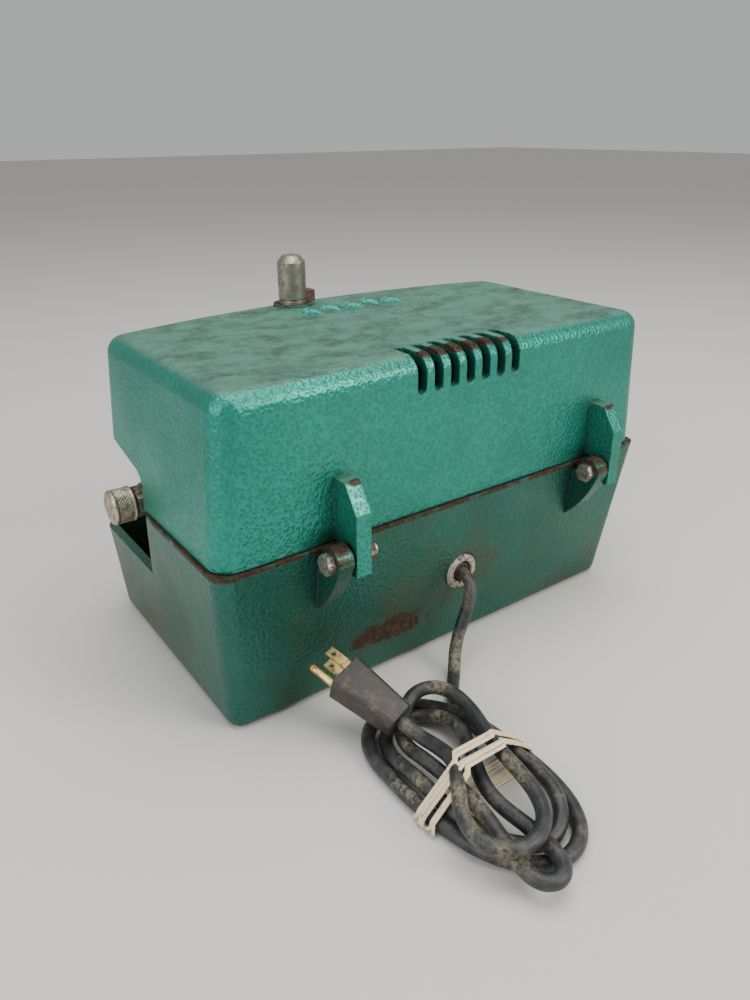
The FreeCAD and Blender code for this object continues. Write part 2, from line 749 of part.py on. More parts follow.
# ---------------------------------------------------------------- deck, screws and guard bowl
def deck_plate():
    body = new_body("deck_plate")
    sheet_outline = plan_box(new_sketch(body, "XY_Plane", DECK_UNDER), "(base_length / 2 - wall - deck_edge)",
                             DECK_REAR, DECK_FRONT)
    ring(sheet_outline, "rotor_x", DRIVE_Y, "housing_radius - 4")
    ring(sheet_outline, "motor_x", DRIVE_Y, "motor_shaft_radius + 3")
    for side in ("-1", "1"):
        for row in DECK_ROWS:
            ring(sheet_outline, side + " * (base_length / 2 - 25)", row, "deck_screw_radius + running")
    pad(body, sheet_outline, "deck_thickness")
    notch = new_sketch(body, "XY_Plane", DECK_TOP)
    half = "(bushing_flange + 5)"
    outline(notch, [
        ("cord_exit_x - " + half, DECK_REAR + " - bushing_length + 2"),
        ("cord_exit_x + " + half, DECK_REAR + " - bushing_length + 2"),
        ("cord_exit_x + " + half, DECK_REAR + " + 1"),
        ("cord_exit_x - " + half, DECK_REAR + " + 1"),
    ])
    pocket(body, notch, "2 * deck_thickness")
    screws = new_body("deck_screws")
    for side in ("-1", "1"):
        for row in DECK_ROWS:
            head = ring(new_sketch(screws, "XY_Plane", DECK_TOP), side + " * (base_length / 2 - 25)", row,
                        "2 * deck_screw_radius")
            pad(screws, head, "deck_screw_radius")
            shank = ring(new_sketch(screws, "XY_Plane", DECK_TOP), side + " * (base_length / 2 - 25)", row,
                         "deck_screw_radius")
            pad(screws, shank, "deck_thickness + 18", backwards=True)


def guard_bowl():
    """Spun sheet bowl around the rotor, with a rolled lip."""
    body = turned("guard_bowl", [
        ("housing_radius - 4", "0"),
        ("bowl_radius", "0"),
        ("bowl_radius", "bowl_height"),
        ("bowl_radius - 2 * bowl_wall", "bowl_height"),
        ("bowl_radius - 2 * bowl_wall", "bowl_height - bowl_wall"),
        ("bowl_radius - bowl_wall", "bowl_height - bowl_wall"),
        ("bowl_radius - bowl_wall", "bowl_wall"),
        ("housing_radius - 4", "bowl_wall"),
    ])
    place(body, "rotor_x", DRIVE_Y, DECK_TOP)


# ---------------------------------------------------------------- spindle and rotor
def bearing_housing():
    """Flanged iron housing under the deck, bored for a bearing at each end."""
    body = turned("bearing_housing", [
        ("spindle_radius + 3", "bearing_width + 1 - housing_length"),
        ("bearing_radius + running", "bearing_width + 1 - housing_length"),
        ("bearing_radius + running", "-housing_length"),
        ("housing_radius", "-housing_length"),
        ("housing_radius", "-4"),
        ("housing_flange", "-4"),
        ("housing_flange", "0"),
        ("bearing_radius + running", "0"),
        ("bearing_radius + running", "-bearing_width - 1"),
        ("spindle_radius + 3", "-bearing_width - 1"),
    ])
    place(body, "rotor_x", DRIVE_Y, DECK_UNDER)


def two_rings(label, bore, outer, width, heights, x):
    """A pair of plain bearing rings on one axis."""
    body = new_body(label)
    for height in heights:
        race = ring(new_sketch(body, "XY_Plane", height), "0", "0", outer)
        ring(race, "0", "0", bore)
        pad(body, race, width)
    place(body, x, DRIVE_Y, DECK_TOP)


def spindle_shaft():
    body = turned("spindle_shaft", [
        ("0", "-pulley_drop - 1"),
        ("spindle_radius", "-pulley_drop - 1"),
        ("spindle_radius", SPINDLE_STEP),
        ("spindle_radius - 1", SPINDLE_STEP),
        ("spindle_radius - 1", SPINDLE_STEP + " + spindle_thread"),
        ("0", SPINDLE_STEP + " + spindle_thread"),
    ])
    place(body, "rotor_x", DRIVE_Y, DECK_TOP)


def pulley(label, radius, bore, x):
    """Turned pulley with one V groove for a round belt."""
    middle = "pulley_width / 2"
    body = turned(label, [
        (bore + " + running", "0"),
        (radius, "0"),
        (radius, middle + " - 1.6 * belt_radius"),
        (radius + " - 1.4 * belt_radius", middle + " - 0.7 * belt_radius"),
        (radius + " - 1.4 * belt_radius", middle + " + 0.7 * belt_radius"),
        (radius, middle + " + 1.6 * belt_radius"),
        (radius, "pulley_width"),
        (bore + " + running", "pulley_width"),
    ])
    place(body, x, DRIVE_Y, DECK_TOP + " - pulley_drop")


def drive_belt():
    """Round belt on the two pulleys: two arcs joined by their outer tangents."""
    small, large = value("motor_pulley_radius"), value("spindle_pulley_radius")
    left, right = value("motor_x"), value("rotor_x")
    lean = math.asin((large - small) / (right - left))

    def on_pulley(x, radius, angle):
        return Vector(x + radius * math.cos(angle), radius * math.sin(angle), 0)

    up = math.pi / 2 + lean
    tangents = [on_pulley(left, small, up), on_pulley(right, large, up),
                on_pulley(right, large, -up), on_pulley(left, small, -up)]
    path = Part.Wire([
        Part.makeLine(tangents[0], tangents[1]),
        Part.Arc(tangents[1], on_pulley(right, large, 0), tangents[2]).toShape(),
        Part.makeLine(tangents[2], tangents[3]),
        Part.Arc(tangents[3], on_pulley(left, small, math.pi), tangents[0]).toShape(),
    ])
    section = Part.Wire(Part.makeCircle(value("belt_radius"), tangents[0], tangents[1] - tangents[0]))
    belt = document.addObject("Part::Feature", "drive_belt")
    belt.Shape = path.makePipeShell([section], True, False)
    belt.Placement = FreeCAD.Placement(
        Vector(0, value(DRIVE_Y), value(DECK_TOP + " - pulley_drop + pulley_width / 2")), Rotation())


def rotor_head():
    """Fixed-angle head: a cone of light alloy with six slanting holes for tubes."""
    body = turned("rotor_head", [
        ("spindle_radius + running", "0"),
        ("rotor_radius", "0"),
        ("rotor_radius", "0.24 * rotor_height"),
        ("rotor_top_radius", "rotor_height"),
        ("spindle_radius + running", "rotor_height"),
    ])
    hole = ring(tube_sketch(body), "0", "0", "tube_radius")
    around(body, pocket(body, hole, "tube_depth"))
    place(body, "rotor_x", DRIVE_Y, DECK_TOP + " + rotor_lift")


def tube_sketch(body):
    """Sketch square to the first tube hole, at the hole's mouth on the rotor's top."""
    sketch = new_sketch(body, "XY_Plane", "rotor_height")
    sketch.AttachmentOffset = FreeCAD.Placement(
        Vector(value("tube_circle"), 0, value("rotor_height")),
        Rotation(Vector(0, -1, 0), value("tube_angle")))
    bind(sketch, "AttachmentOffset.Base.x", "tube_circle")
    bind(sketch, "AttachmentOffset.Rotation.Angle", "tube_angle * 1 deg")
    return sketch


def around(body, feature):
    """Repeat a feature about the body's Z axis, once for each tube."""
    pattern = body.newObject("PartDesign::PolarPattern", "pattern")
    pattern.Originals = [feature]
    pattern.Axis = (origin_plane(body, "Z_Axis"), [""])
    pattern.Angle = 360
    pattern.Occurrences = int(value("tube_count"))
    bind(pattern, "Occurrences", "tube_count")
    body.Tip = pattern
    document.recompute()


def tube_shields():
    """Six brass sleeves that stand in the rotor's holes."""
    body = new_body("tube_shields")
    sleeve = ring(tube_sketch(body), "0", "0", "tube_radius - 2 * running")
    ring(sleeve, "0", "0", "tube_radius - 1")
    around(body, pad(body, sleeve, "tube_depth - 1", backwards=True))
    place(body, "rotor_x", DRIVE_Y, DECK_TOP + " + rotor_lift")


def rotor_nut():
    body = turned("rotor_nut", [
        ("spindle_radius - 1 + running", "0"),
        ("1.8 * spindle_radius", "0"),
        ("1.8 * spindle_radius", "8"),
        ("1.3 * spindle_radius", "10"),
        ("spindle_radius - 1 + running", "10"),
    ])
    place(body, "rotor_x", DRIVE_Y, DECK_TOP + " + rotor_lift + rotor_height + running")


# ---------------------------------------------------------------- motor
def lower_end_bell():
    """Cast cup on the deck with the lower bearing in its middle."""
    body = turned("lower_end_bell", [
        ("motor_bearing_radius + running", "0"),
        ("motor_radius", "0"),
        ("motor_radius", "bell_height"),
        ("motor_radius - bell_wall", "bell_height"),
        ("motor_radius - bell_wall", "bell_wall + 1"),
        ("motor_bearing_radius + 4", "bell_wall + 1"),
        ("motor_bearing_radius + 4", "motor_bearing_width + 2"),
        ("motor_bearing_radius + running", "motor_bearing_width + 2"),
    ])
    place(body, "motor_x", DRIVE_Y, DECK_TOP)


MOTOR_TOP = "(2 * bell_height + field_height)"
BRUSH_Z = "(bell_height + field_height + bell_height / 2)"


def upper_end_bell():
    """Cast cap with the upper bearing and two holes for the brush tubes."""
    edge = "bell_height + field_height"
    body = turned("upper_end_bell", [
        ("motor_radius - bell_wall", edge),
        ("motor_radius", edge),
        ("motor_radius", MOTOR_TOP + " - 5"),
        ("motor_radius - 5", MOTOR_TOP),
        ("motor_bearing_radius + running", MOTOR_TOP),
        ("motor_bearing_radius + running", MOTOR_TOP + " - motor_bearing_width - 2"),
        ("motor_bearing_radius + 3", MOTOR_TOP + " - motor_bearing_width - 2"),
        ("motor_bearing_radius + 3", MOTOR_TOP + " - bell_wall - 1"),
        ("motor_radius - bell_wall - 4", MOTOR_TOP + " - bell_wall - 1"),
        ("motor_radius - bell_wall", MOTOR_TOP + " - bell_wall - 5"),
    ])
    drill_along_x(body, "0", BRUSH_Z, "brush_radius + running")
    place(body, "motor_x", DRIVE_Y, DECK_TOP)


def field_core():
    """Stack of field laminations between the two end bells."""
    body = turned("field_core", [
        ("field_bore", "bell_height"),
        ("motor_radius", "bell_height"),
        ("motor_radius", "bell_height + field_height"),
        ("field_bore", "bell_height + field_height"),
    ])
    place(body, "motor_x", DRIVE_Y, DECK_TOP)


def armature_core():
    body = turned("armature_core", [
        ("motor_shaft_radius + running", "bell_height + 2"),
        ("armature_radius", "bell_height + 2"),
        ("armature_radius", "bell_height + field_height - 2"),
        ("motor_shaft_radius + running", "bell_height + field_height - 2"),
    ])
    place(body, "motor_x", DRIVE_Y, DECK_TOP)


def commutator():
    body = turned("commutator", [
        ("motor_shaft_radius + running", BRUSH_Z + " - 9"),
        ("commutator_radius", BRUSH_Z + " - 9"),
        ("commutator_radius", BRUSH_Z + " + 3.5"),
        ("motor_shaft_radius + running", BRUSH_Z + " + 3.5"),
    ])
    place(body, "motor_x", DRIVE_Y, DECK_TOP)


def motor_shaft():
    body = turned("motor_shaft", [
        ("0", "-pulley_drop - 1"),
        ("motor_shaft_radius", "-pulley_drop - 1"),
        ("motor_shaft_radius", "motor_shaft_top"),
        ("0", "motor_shaft_top"),
    ])
    place(body, "motor_x", DRIVE_Y, DECK_TOP)


def cooling_fan():
    """Pressed disc with eight straight blades, under the armature."""
    body = turned("cooling_fan", [
        ("motor_shaft_radius + running", "motor_bearing_width + 4"),
        ("armature_radius - 1", "motor_bearing_width + 4"),
        ("armature_radius - 1", "motor_bearing_width + 5.2"),
        ("motor_shaft_radius + 2", "motor_bearing_width + 5.2"),
        ("motor_shaft_radius + 2", "motor_bearing_width + 10"),
        ("motor_shaft_radius + running", "motor_bearing_width + 10"),
    ])
    for number in range(4):
        blade = new_sketch(body, "XY_Plane", "motor_bearing_width + 5")
        turn = "(%d)" % (45 * number)
        corners = [("armature_radius - 2", "0.6"), ("motor_shaft_radius + 1.5", "0.6"),
                   ("motor_shaft_radius + 1.5", "-0.6"), ("armature_radius - 2", "-0.6")]
        for way in ("", "-"):
            outline(blade, [
                ("%s((%s) * cos%s - (%s) * sin%s)" % (way, u, turn, v, turn),
                 "%s((%s) * sin%s + (%s) * cos%s)" % (way, u, turn, v, turn)) for u, v in corners])
        pad(body, blade, "6")
    place(body, "motor_x", DRIVE_Y, DECK_TOP)


def brush_gear():
    """Two moulded brush tubes in the upper bell, each with a block of carbon inside."""
    tubes = new_body("brush_tubes")
    brushes = new_body("carbon_brushes")
    for backwards, sign in ((False, ""), (True, "-")):
        tube = ring(new_sketch(tubes, "YZ_Plane", sign + "(commutator_radius + 2)"), "0", BRUSH_Z,
                    "brush_radius")
        ring(tube, "0", BRUSH_Z, "brush_radius - 1.4")
        pad(tubes, tube, "motor_radius - commutator_radius + 1", backwards=backwards)
        carbon = ring(new_sketch(brushes, "YZ_Plane", sign + "(commutator_radius + running)"), "0", BRUSH_Z,
                      "brush_radius - 1.4 - running")
        pad(brushes, carbon, "12", backwards=backwards)
    for body in (tubes, brushes):
        place(body, "motor_x", DRIVE_Y, DECK_TOP)


# ---------------------------------------------------------------- speed control
def speed_control():
    """Round wire-wound control behind the ear, with its threaded bushing through the ear."""
    stack = "(ear_thickness + fibre_washer + bushing_nut_height + 0.6)"
    body = turned("speed_control", [
        ("0", "-control_depth"),
        ("control_radius", "-control_depth"),
        ("control_radius", "0"),
        ("control_bushing", "0"),
        ("control_bushing", stack),
        ("control_shaft + running", stack),
        ("control_shaft + running", "3 - control_depth"),
        ("0", "3 - control_depth"),
    ])
    place(body, EAR_X, CONTROL_Y, CONTROL_Z, ALONG_X)
    washer = turned("fibre_washer", [
        ("control_bushing + running", "ear_thickness"),
        ("ear_radius - 0.4", "ear_thickness"),
        ("ear_radius - 0.4", "ear_thickness + fibre_washer"),
        ("control_bushing + running", "ear_thickness + fibre_washer"),
    ])
    place(washer, EAR_X, CONTROL_Y, CONTROL_Z, ALONG_X)
    nut = new_body("bushing_nut")
    flats = new_sketch(nut, "XY_Plane", "ear_thickness + fibre_washer")
    hexagon(flats, "bushing_nut_flats", "0", "0")
    ring(flats, "0", "0", "control_bushing + running")
    pad(nut, flats, "bushing_nut_height")
    place(nut, EAR_X, CONTROL_Y, CONTROL_Z, ALONG_X)


def speed_knob():
    """Knurled metal knob on the control's shaft, held by a set screw."""
    foot = "(ear_thickness + fibre_washer + bushing_nut_height + knob_gap)"
    knob = turned("speed_knob", [
        ("control_shaft + running", foot + " + 2"),
        ("control_bushing + 1", foot + " + 2"),
        ("control_bushing + 1", foot),
        ("knob_radius - 1", foot),
        ("knob_radius", foot + " + 1"),
        ("knob_radius", foot + " + knob_length - 1"),
        ("knob_radius - 1", foot + " + knob_length"),
        ("0", foot + " + knob_length"),
        ("0", foot + " + knob_length - 3"),
        ("control_shaft + running", foot + " + knob_length - 3"),
    ])
    drilling = ring(new_sketch(knob, "YZ_Plane", "knob_radius + 1"), "0", foot + " + knob_length / 2", "1.55")
    pocket(knob, drilling, "knob_radius")
    place(knob, EAR_X, CONTROL_Y, CONTROL_Z, ALONG_X)
    shaft = turned("control_shaft", [
        ("0", "3.4 - control_depth"),
        ("control_shaft", "3.4 - control_depth"),
        ("control_shaft", foot + " + knob_length - 3.2"),
        ("0", foot + " + knob_length - 3.2"),
    ])
    place(shaft, EAR_X, CONTROL_Y, CONTROL_Z, ALONG_X)
    screw = new_body("knob_screw")
    grub = ring(new_sketch(screw, "YZ_Plane", "control_shaft + running"), "0", foot + " + knob_length / 2",
                "1.5")
    pad(screw, grub, "knob_radius - control_shaft - 1")
    place(screw, EAR_X, CONTROL_Y, CONTROL_Z, ALONG_X)


# ---------------------------------------------------------------- cord, coil, band and plug
# The lead's points, chosen by hand: out of the bushing, down to the floor and into the coil. Each is
# a distance along the base and behind its rear rim, and a height above the floor.
LEAD = [
    (-6.5, -12.7, 58.0),
    (-6.5, 1.5, 58.0),
    (-2.8, 7.5, 45.5),
    (4.2, 8.5, 31.0),
    (12.0, 10.5, 14.5),
    (22.5, 22.2, 4.4),
    (32.3, 32.0, 4.4),
    (40.9, 41.7, 4.4),
]
# The plug's back beside the coil's middle, and the ways its pins and its row of blades point.
PLUG_BACK = Vector(19.0, -45.0, 23.0)
PLUG_WAY = Vector(0.30, -0.90, 0.31)
BLADES_WAY = Vector(-0.08, -0.35, -0.93)


def lead_path(points):
    """Straight runs joined by tangent arcs, each as large as its two runs allow."""
    corners = [Vector(x, y + value(REAR), z) for x, y, z in points]
    edges = []
    here = corners[0]
    for before, corner, after in zip(corners, corners[1:], corners[2:]):
        run_in, run_out = corner - before, after - corner
        reach = 0.45 * min(run_in.Length, run_out.Length)
        half_turn = run_in.getAngle(run_out) / 2
        into, out = Vector(run_in).normalize(), Vector(run_out).normalize()
        start, end = corner - into * reach, corner + out * reach
        radius = reach / math.tan(half_turn)
        print("cord radius %.1f mm" % radius)
        bisector = (out - into).normalize()
        middle = corner + bisector * (radius / math.cos(half_turn) - radius)
        edges.append(Part.makeLine(here, start))
        edges.append(Part.Arc(start, middle, end).toShape())
        here = end
    edges.append(Part.makeLine(here, corners[-1]))
    return Part.Wire(edges)


def cord_lead():
    path = lead_path(LEAD)
    radius = value("cord_radius")
    start = path.Vertexes[0].Point
    section = Part.Wire(Part.makeCircle(radius, start, Vector(*LEAD[1]) - Vector(*LEAD[0])))
    lead = document.addObject("Part::Feature", "cord_lead")
    lead.Shape = path.makePipeShell([section], True, False)
    print("cord lead volume %.0f, section times length %.0f" % (
        lead.Shape.Volume, math.pi * radius * radius * path.Length))


def stadium(sketch, half_width, half_length):
    """Coil seen from above: straight sides with round ends."""
    side = "(" + half_length + " - " + half_width + ")"
    arc = "-" + half_width + QUARTER
    return outline(sketch, [
        ("hank_x - " + half_width, HANK_Y + " + " + side),
        ("hank_x - " + half_width, HANK_Y + " - " + side, arc),
        ("hank_x", HANK_Y + " - " + half_length, arc),
        ("hank_x + " + half_width, HANK_Y + " - " + side),
        ("hank_x + " + half_width, HANK_Y + " + " + side, arc),
        ("hank_x", HANK_Y + " + " + half_length, arc),
    ])


def band_frame(body, outer, inner_across, inner_low, inner_high):
    """Rectangular frame about the coil's waist, seen along the coil."""
    sketch = new_sketch(body, "XZ_Plane", "-" + HANK_Y + " - band_width / 2")
    for across, low, high in ((outer, "0", "hank_height + apart"), (inner_across, inner_low, inner_high)):
        outline(sketch, [
            ("hank_x - " + across, low),
            ("hank_x + " + across, low),
            ("hank_x + " + across, high),
            ("hank_x - " + across, high),
        ])
    return sketch


def cord_hank():
    """The coiled cord's outer shape, waisted under the band and stepped down under the plug."""
    body = new_body("cord_hank")
    pad(body, stadium(new_sketch(body, "XY_Plane"), "hank_width / 2", "hank_length / 2"), "hank_height")
    waist = band_frame(body, "(hank_width / 2 + 5)", "(hank_width / 2 - band_thickness - running)",
                       "band_thickness + running", "hank_height - band_thickness - running")
    pocket(body, waist, "band_width + 2 * running", backwards=True)
    step = outline(new_sketch(body, "XY_Plane", "hank_height + 1"), [
        ("hank_x - 12", HANK_Y + " - hank_length"),
        ("hank_x + hank_width", HANK_Y + " - hank_length"),
        ("hank_x + hank_width", HANK_Y + " - hank_length / 2 + 44"),
        ("hank_x - 12", HANK_Y + " - hank_length / 2 + 44"),
    ])
    pocket(body, step, "hank_height + 1 - hank_step")


def cord_band():
    body = new_body("cord_band")
    frame = band_frame(body, "hank_width / 2", "(hank_width / 2 - band_thickness)", "band_thickness",
                       "hank_height - band_thickness")
    pad(body, frame, "band_width")


def plug_frame(body):
    """Stand a plug piece on the coil: its Z runs out along the pins."""
    way = Vector(PLUG_WAY).normalize()
    across = (BLADES_WAY - way * BLADES_WAY.dot(way)).normalize()
    side = way.cross(across)
    back = PLUG_BACK + Vector(value("hank_x"), value(HANK_Y), 0)
    matrix = FreeCAD.Matrix(across.x, side.x, way.x, back.x, across.y, side.y, way.y, back.y,
                            across.z, side.z, way.z, back.z, 0, 0, 0, 1)
    body.Placement = FreeCAD.Placement(matrix)


def plug():
    """Moulded plug for a grounded wall outlet: body, two flat blades and a round ground pin."""
    body = new_body("plug_body")
    back = new_sketch(body, "XY_Plane")
    face = new_sketch(body, "XY_Plane", "plug_length")
    loft(body, rounded_section(back, "(plug_width / 2 - 2)", "(plug_thickness / 2 - 3)"),
         rounded_section(face, "(plug_width / 2)", "(plug_thickness / 2)"))
    blades = new_body("plug_blades")
    for side in ("-1", "1"):
        blade = new_sketch(blades, "XY_Plane", "plug_length")
        outline(blade, [
            (side + " * blade_spacing / 2 - blade_thickness / 2", "-ground_offset / 3 - blade_width / 2"),
            (side + " * blade_spacing / 2 + blade_thickness / 2", "-ground_offset / 3 - blade_width / 2"),
            (side + " * blade_spacing / 2 + blade_thickness / 2", "-ground_offset / 3 + blade_width / 2"),
            (side + " * blade_spacing / 2 - blade_thickness / 2", "-ground_offset / 3 + blade_width / 2"),
        ])
        pad(blades, blade, "blade_length")
    eyes = ring(new_sketch(blades, "YZ_Plane", "0"), "-ground_offset / 3", "plug_length + 0.76 * blade_length",
                "blade_width / 4")
    pocket(blades, eyes, "2 * plug_width", midplane=True)
    pin = turned("plug_ground_pin", [
        ("0", "plug_length"),
        ("ground_radius", "plug_length"),
        ("ground_radius", "plug_length + ground_length - ground_radius"),
        ("ground_radius / 2", "plug_length + ground_length"),
        ("0", "plug_length + ground_length"),
    ])
    tail = turned("cord_tail", [
        ("0", "-tail_length"),
        ("cord_radius", "-tail_length"),
        ("cord_radius", "-8"),
        ("cord_radius + 0.8", "-8"),
        ("cord_radius + 2.6", "0"),
        ("0", "0"),
    ])
    for piece in (body, blades, pin, tail):
        plug_frame(piece)
    shift = pin.Placement.Rotation.multVec(Vector(0, value("ground_offset * 2 / 3"), 0))
    pin.Placement.Base = pin.Placement.Base + shift


def rounded_section(sketch, half_u, half_v):
    """Rectangle with round corners, about the sketch's origin."""
    arc = "-plug_round" + QUARTER
    return outline(sketch, [
        ("plug_round - " + half_u, "-" + half_v),
        (half_u + " - plug_round", "-" + half_v, arc),
        (half_u, "plug_round - " + half_v),
        (half_u, half_v + " - plug_round", arc),
        (half_u + " - plug_round", half_v),
        ("plug_round - " + half_u, half_v, arc),
        ("-" + half_u, half_v + " - plug_round"),
        ("-" + half_u, "plug_round - " + half_v, arc),
    ])


# ---------------------------------------------------------------- build, check and export
base_casting()
lid_casting()
lift_post()
post_clamp()
hinge_bolts()
hinge_nuts()
cord_bushing()
bushing_locknut()
strain_relief()
terminal_block()
deck_plate()
guard_bowl()
bearing_housing()
two_rings("spindle_bearings", "spindle_radius + running", "bearing_radius", "bearing_width",
          ("-deck_thickness - bearing_width - 0.5", "-deck_thickness - housing_length + 0.5"), "rotor_x")
spindle_shaft()
pulley("spindle_pulley", "spindle_pulley_radius", "spindle_radius", "rotor_x")
pulley("motor_pulley", "motor_pulley_radius", "motor_shaft_radius", "motor_x")
drive_belt()
rotor_head()
tube_shields()
rotor_nut()
lower_end_bell()
upper_end_bell()
field_core()
armature_core()
commutator()
motor_shaft()
cooling_fan()
brush_gear()
two_rings("motor_bearings", "motor_shaft_radius + running", "motor_bearing_radius", "motor_bearing_width",
          ("1.5", MOTOR_TOP + " - motor_bearing_width - 1.5"), "motor_x")
speed_control()
speed_knob()
cord_lead()
cord_hank()
cord_band()
plug()
document.recompute()

nodes = [item for item in document.Objects
         if item.TypeId in ("PartDesign::Body", "Part::Feature") and item.getParentGeoFeatureGroup() is None]
for item in document.Objects:
    if {"Invalid", "Error"} & set(item.State):
        raise ValueError("%s failed: %s" % (item.Name, item.State))
for node in nodes:
    if node.Shape.isNull() or not node.Shape.isValid() or not node.Shape.Solids:
        raise ValueError("%s has no sound solid" % node.Label)
os.makedirs("parts", exist_ok=True)
for node in nodes:
    node.Shape.exportStep(os.path.join("parts", node.Label + ".step"))
print("%d nodes written" % len(nodes))
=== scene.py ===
import bpy
import numpy as np
from mathutils import Matrix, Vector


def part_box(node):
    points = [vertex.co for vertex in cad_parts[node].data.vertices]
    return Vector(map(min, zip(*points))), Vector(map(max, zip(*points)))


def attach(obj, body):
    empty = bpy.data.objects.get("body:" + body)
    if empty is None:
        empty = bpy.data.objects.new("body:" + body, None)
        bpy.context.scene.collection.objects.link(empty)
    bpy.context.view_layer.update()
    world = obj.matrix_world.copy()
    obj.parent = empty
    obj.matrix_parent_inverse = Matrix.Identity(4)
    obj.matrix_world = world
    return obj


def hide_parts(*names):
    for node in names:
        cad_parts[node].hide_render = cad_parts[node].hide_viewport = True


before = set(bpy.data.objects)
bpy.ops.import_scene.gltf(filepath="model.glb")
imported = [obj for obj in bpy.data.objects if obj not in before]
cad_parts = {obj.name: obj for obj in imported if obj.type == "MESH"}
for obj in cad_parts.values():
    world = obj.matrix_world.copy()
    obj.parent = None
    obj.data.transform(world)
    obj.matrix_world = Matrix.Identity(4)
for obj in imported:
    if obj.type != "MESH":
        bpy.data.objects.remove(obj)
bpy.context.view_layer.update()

# ---------------------------------------------------------------- room and camera
# A plain pale floor under soft studio light: one wide lamp overhead, a key behind the viewer's right
# shoulder and a weaker fill on the left. The camera stands behind the machine, a little above its lid.
def look_along(place, forward, up):
    """World matrix whose -Z runs along forward and whose Y is as near to up as it can be."""
    back = -np.array(forward, float)
    back /= np.linalg.norm(back)
    right = np.cross(up, back)
    right /= np.linalg.norm(right)
    matrix = np.eye(4)
    matrix[:3, 0] = right
    matrix[:3, 1] = np.cross(back, right)
    matrix[:3, 2] = back
    matrix[:3, 3] = place
    return Matrix(matrix.tolist())


def lamp(name, place, target, size, power, tint):
    data = bpy.data.lights.new(name, "AREA")
    data.shape = "DISK"
    data.size = size
    data.energy = power
    data.color = tint
    lamp_object = bpy.data.objects.new(name, data)
    bpy.context.collection.objects.link(lamp_object)
    aim = np.array(target) - np.array(place)
    lamp_object.matrix_world = look_along(place, aim, (0.0, 0.0, 1.0))
    return lamp_object


camera_data = bpy.data.cameras.new("camera")
camera_data.lens = 28.23
camera_data.sensor_width = 36.0
camera_data.clip_start = 0.02
camera = bpy.data.objects.new("camera", camera_data)
bpy.context.collection.objects.link(camera)
camera_place = (0.3063, 0.4335, 0.3293)
camera_forward = (-0.527, -0.7316, -0.4324)
camera_up = (-0.2571, -0.3477, 0.9017)
camera.matrix_world = look_along(camera_place, camera_forward, camera_up)
bpy.context.scene.camera = camera

lamp("overhead", (-0.1, 0.1, 1.7), (0.0, 0.0, 0.1), 1.6, 26.0, (1.0, 0.98, 0.95))
lamp("key", (-0.9, 1.7, 1.2), (0.0, 0.0, 0.1), 1.1, 30.0, (1.0, 0.97, 0.93))
lamp("fill", (1.7, 0.3, 0.9), (0.0, 0.0, 0.1), 1.4, 18.0, (0.93, 0.97, 1.0))

world = bpy.data.worlds.new("studio")
world.use_nodes = True
world.node_tree.nodes["Background"].inputs["Color"].default_value = (0.86, 0.87, 0.88, 1.0)
world.node_tree.nodes["Background"].inputs["Strength"].default_value = 0.55
bpy.context.scene.world = world


def mesh_from(name, points, faces, smooth=True):
    mesh = bpy.data.meshes.new(name)
    mesh.from_pydata(np.asarray(points, float).tolist(), [], [list(map(int, face)) for face in faces])
    mesh.update()
    mesh.polygons.foreach_set("use_smooth", [smooth] * len(mesh.polygons))
    made = bpy.data.objects.new(name, mesh)
    bpy.context.collection.objects.link(made)
    return made


floor = mesh_from("floor", [(-9, -9, 0), (9, -9, 0), (9, 9, 0), (-9, 9, 0)], [(0, 1, 2, 3)], smooth=False)
floor_paint = bpy.data.materials.new("floor_paint")
floor_paint.use_nodes = True
floor_shader = floor_paint.node_tree.nodes["Principled BSDF"]
floor_shader.inputs["Base Color"].default_value = (0.62, 0.60, 0.57, 1.0)
floor_shader.inputs["Roughness"].default_value = 0.7
floor.data.materials.append(floor_paint)


# ---------------------------------------------------------------- mains cord
# Round three-core rubber cord, 8.4 mm across. It drops from the bushing to the floor and is wound there
# into a long loose coil. The rubber is black where handled and tan with old dust elsewhere.
CORD_DIAMETER = 0.0084

LEAD_POINTS = [
    (-6.5, 92.3, 58.0), (-6.5, 106.5, 58.0), (-2.8, 112.5, 45.5), (4.2, 113.5, 31.0),
    (12.0, 115.5, 14.5), (22.5, 127.2, 4.4), (32.3, 137.0, 4.4), (40.9, 146.7, 4.4),
]
FIRST_TURN = [
    (43, 162, 4.4), (41, 184, 4.4), (39, 206, 4.4), (40, 229, 4.4), (45, 249, 4.4), (55, 263, 4.4),
    (69, 269, 4.4), (83, 266, 4.4), (95, 256, 4.4), (104, 240, 4.4), (109, 220, 4.4), (111, 198, 4.4),
    (111, 176, 4.4), (110, 156, 4.4), (102, 140, 4.4), (88, 131, 4.4), (73, 130, 4.4), (60, 138, 4.4),
    (52, 151, 6),
]
SECOND_TURN = [
    (49, 168, 11), (49, 187, 13), (49, 206, 13), (48, 225, 13), (51, 241, 12), (58, 252, 8), (68, 256.5, 5),
    (79, 254.5, 4.4), (89, 246, 4.4), (96, 233, 6), (102, 219, 9), (103.5, 201, 11.5), (103.5, 183, 10.5),
    (103, 166, 7), (97.5, 152, 4.6), (87, 142.5, 4.4), (74, 142, 4.4), (65, 149, 6), (60, 160, 10),
]
MIDDLE_TURN = [
    (60, 173, 13.5), (65, 187, 14), (73, 202, 14), (80, 216, 13.5), (82, 232, 13), (80, 248, 13),
    (80, 263, 13), (82, 275, 12.8), (91, 280, 12.8), (100, 274, 12.8), (99.5, 259, 13.2), (96, 243, 14.5),
    (93.5, 228, 15.5), (92.5, 213, 15.5), (93, 198, 15), (93.5, 183, 14), (93, 170, 10.5), (90, 158.5, 8.8),
    (84.5, 150, 10), (76, 143.5, 14),
]
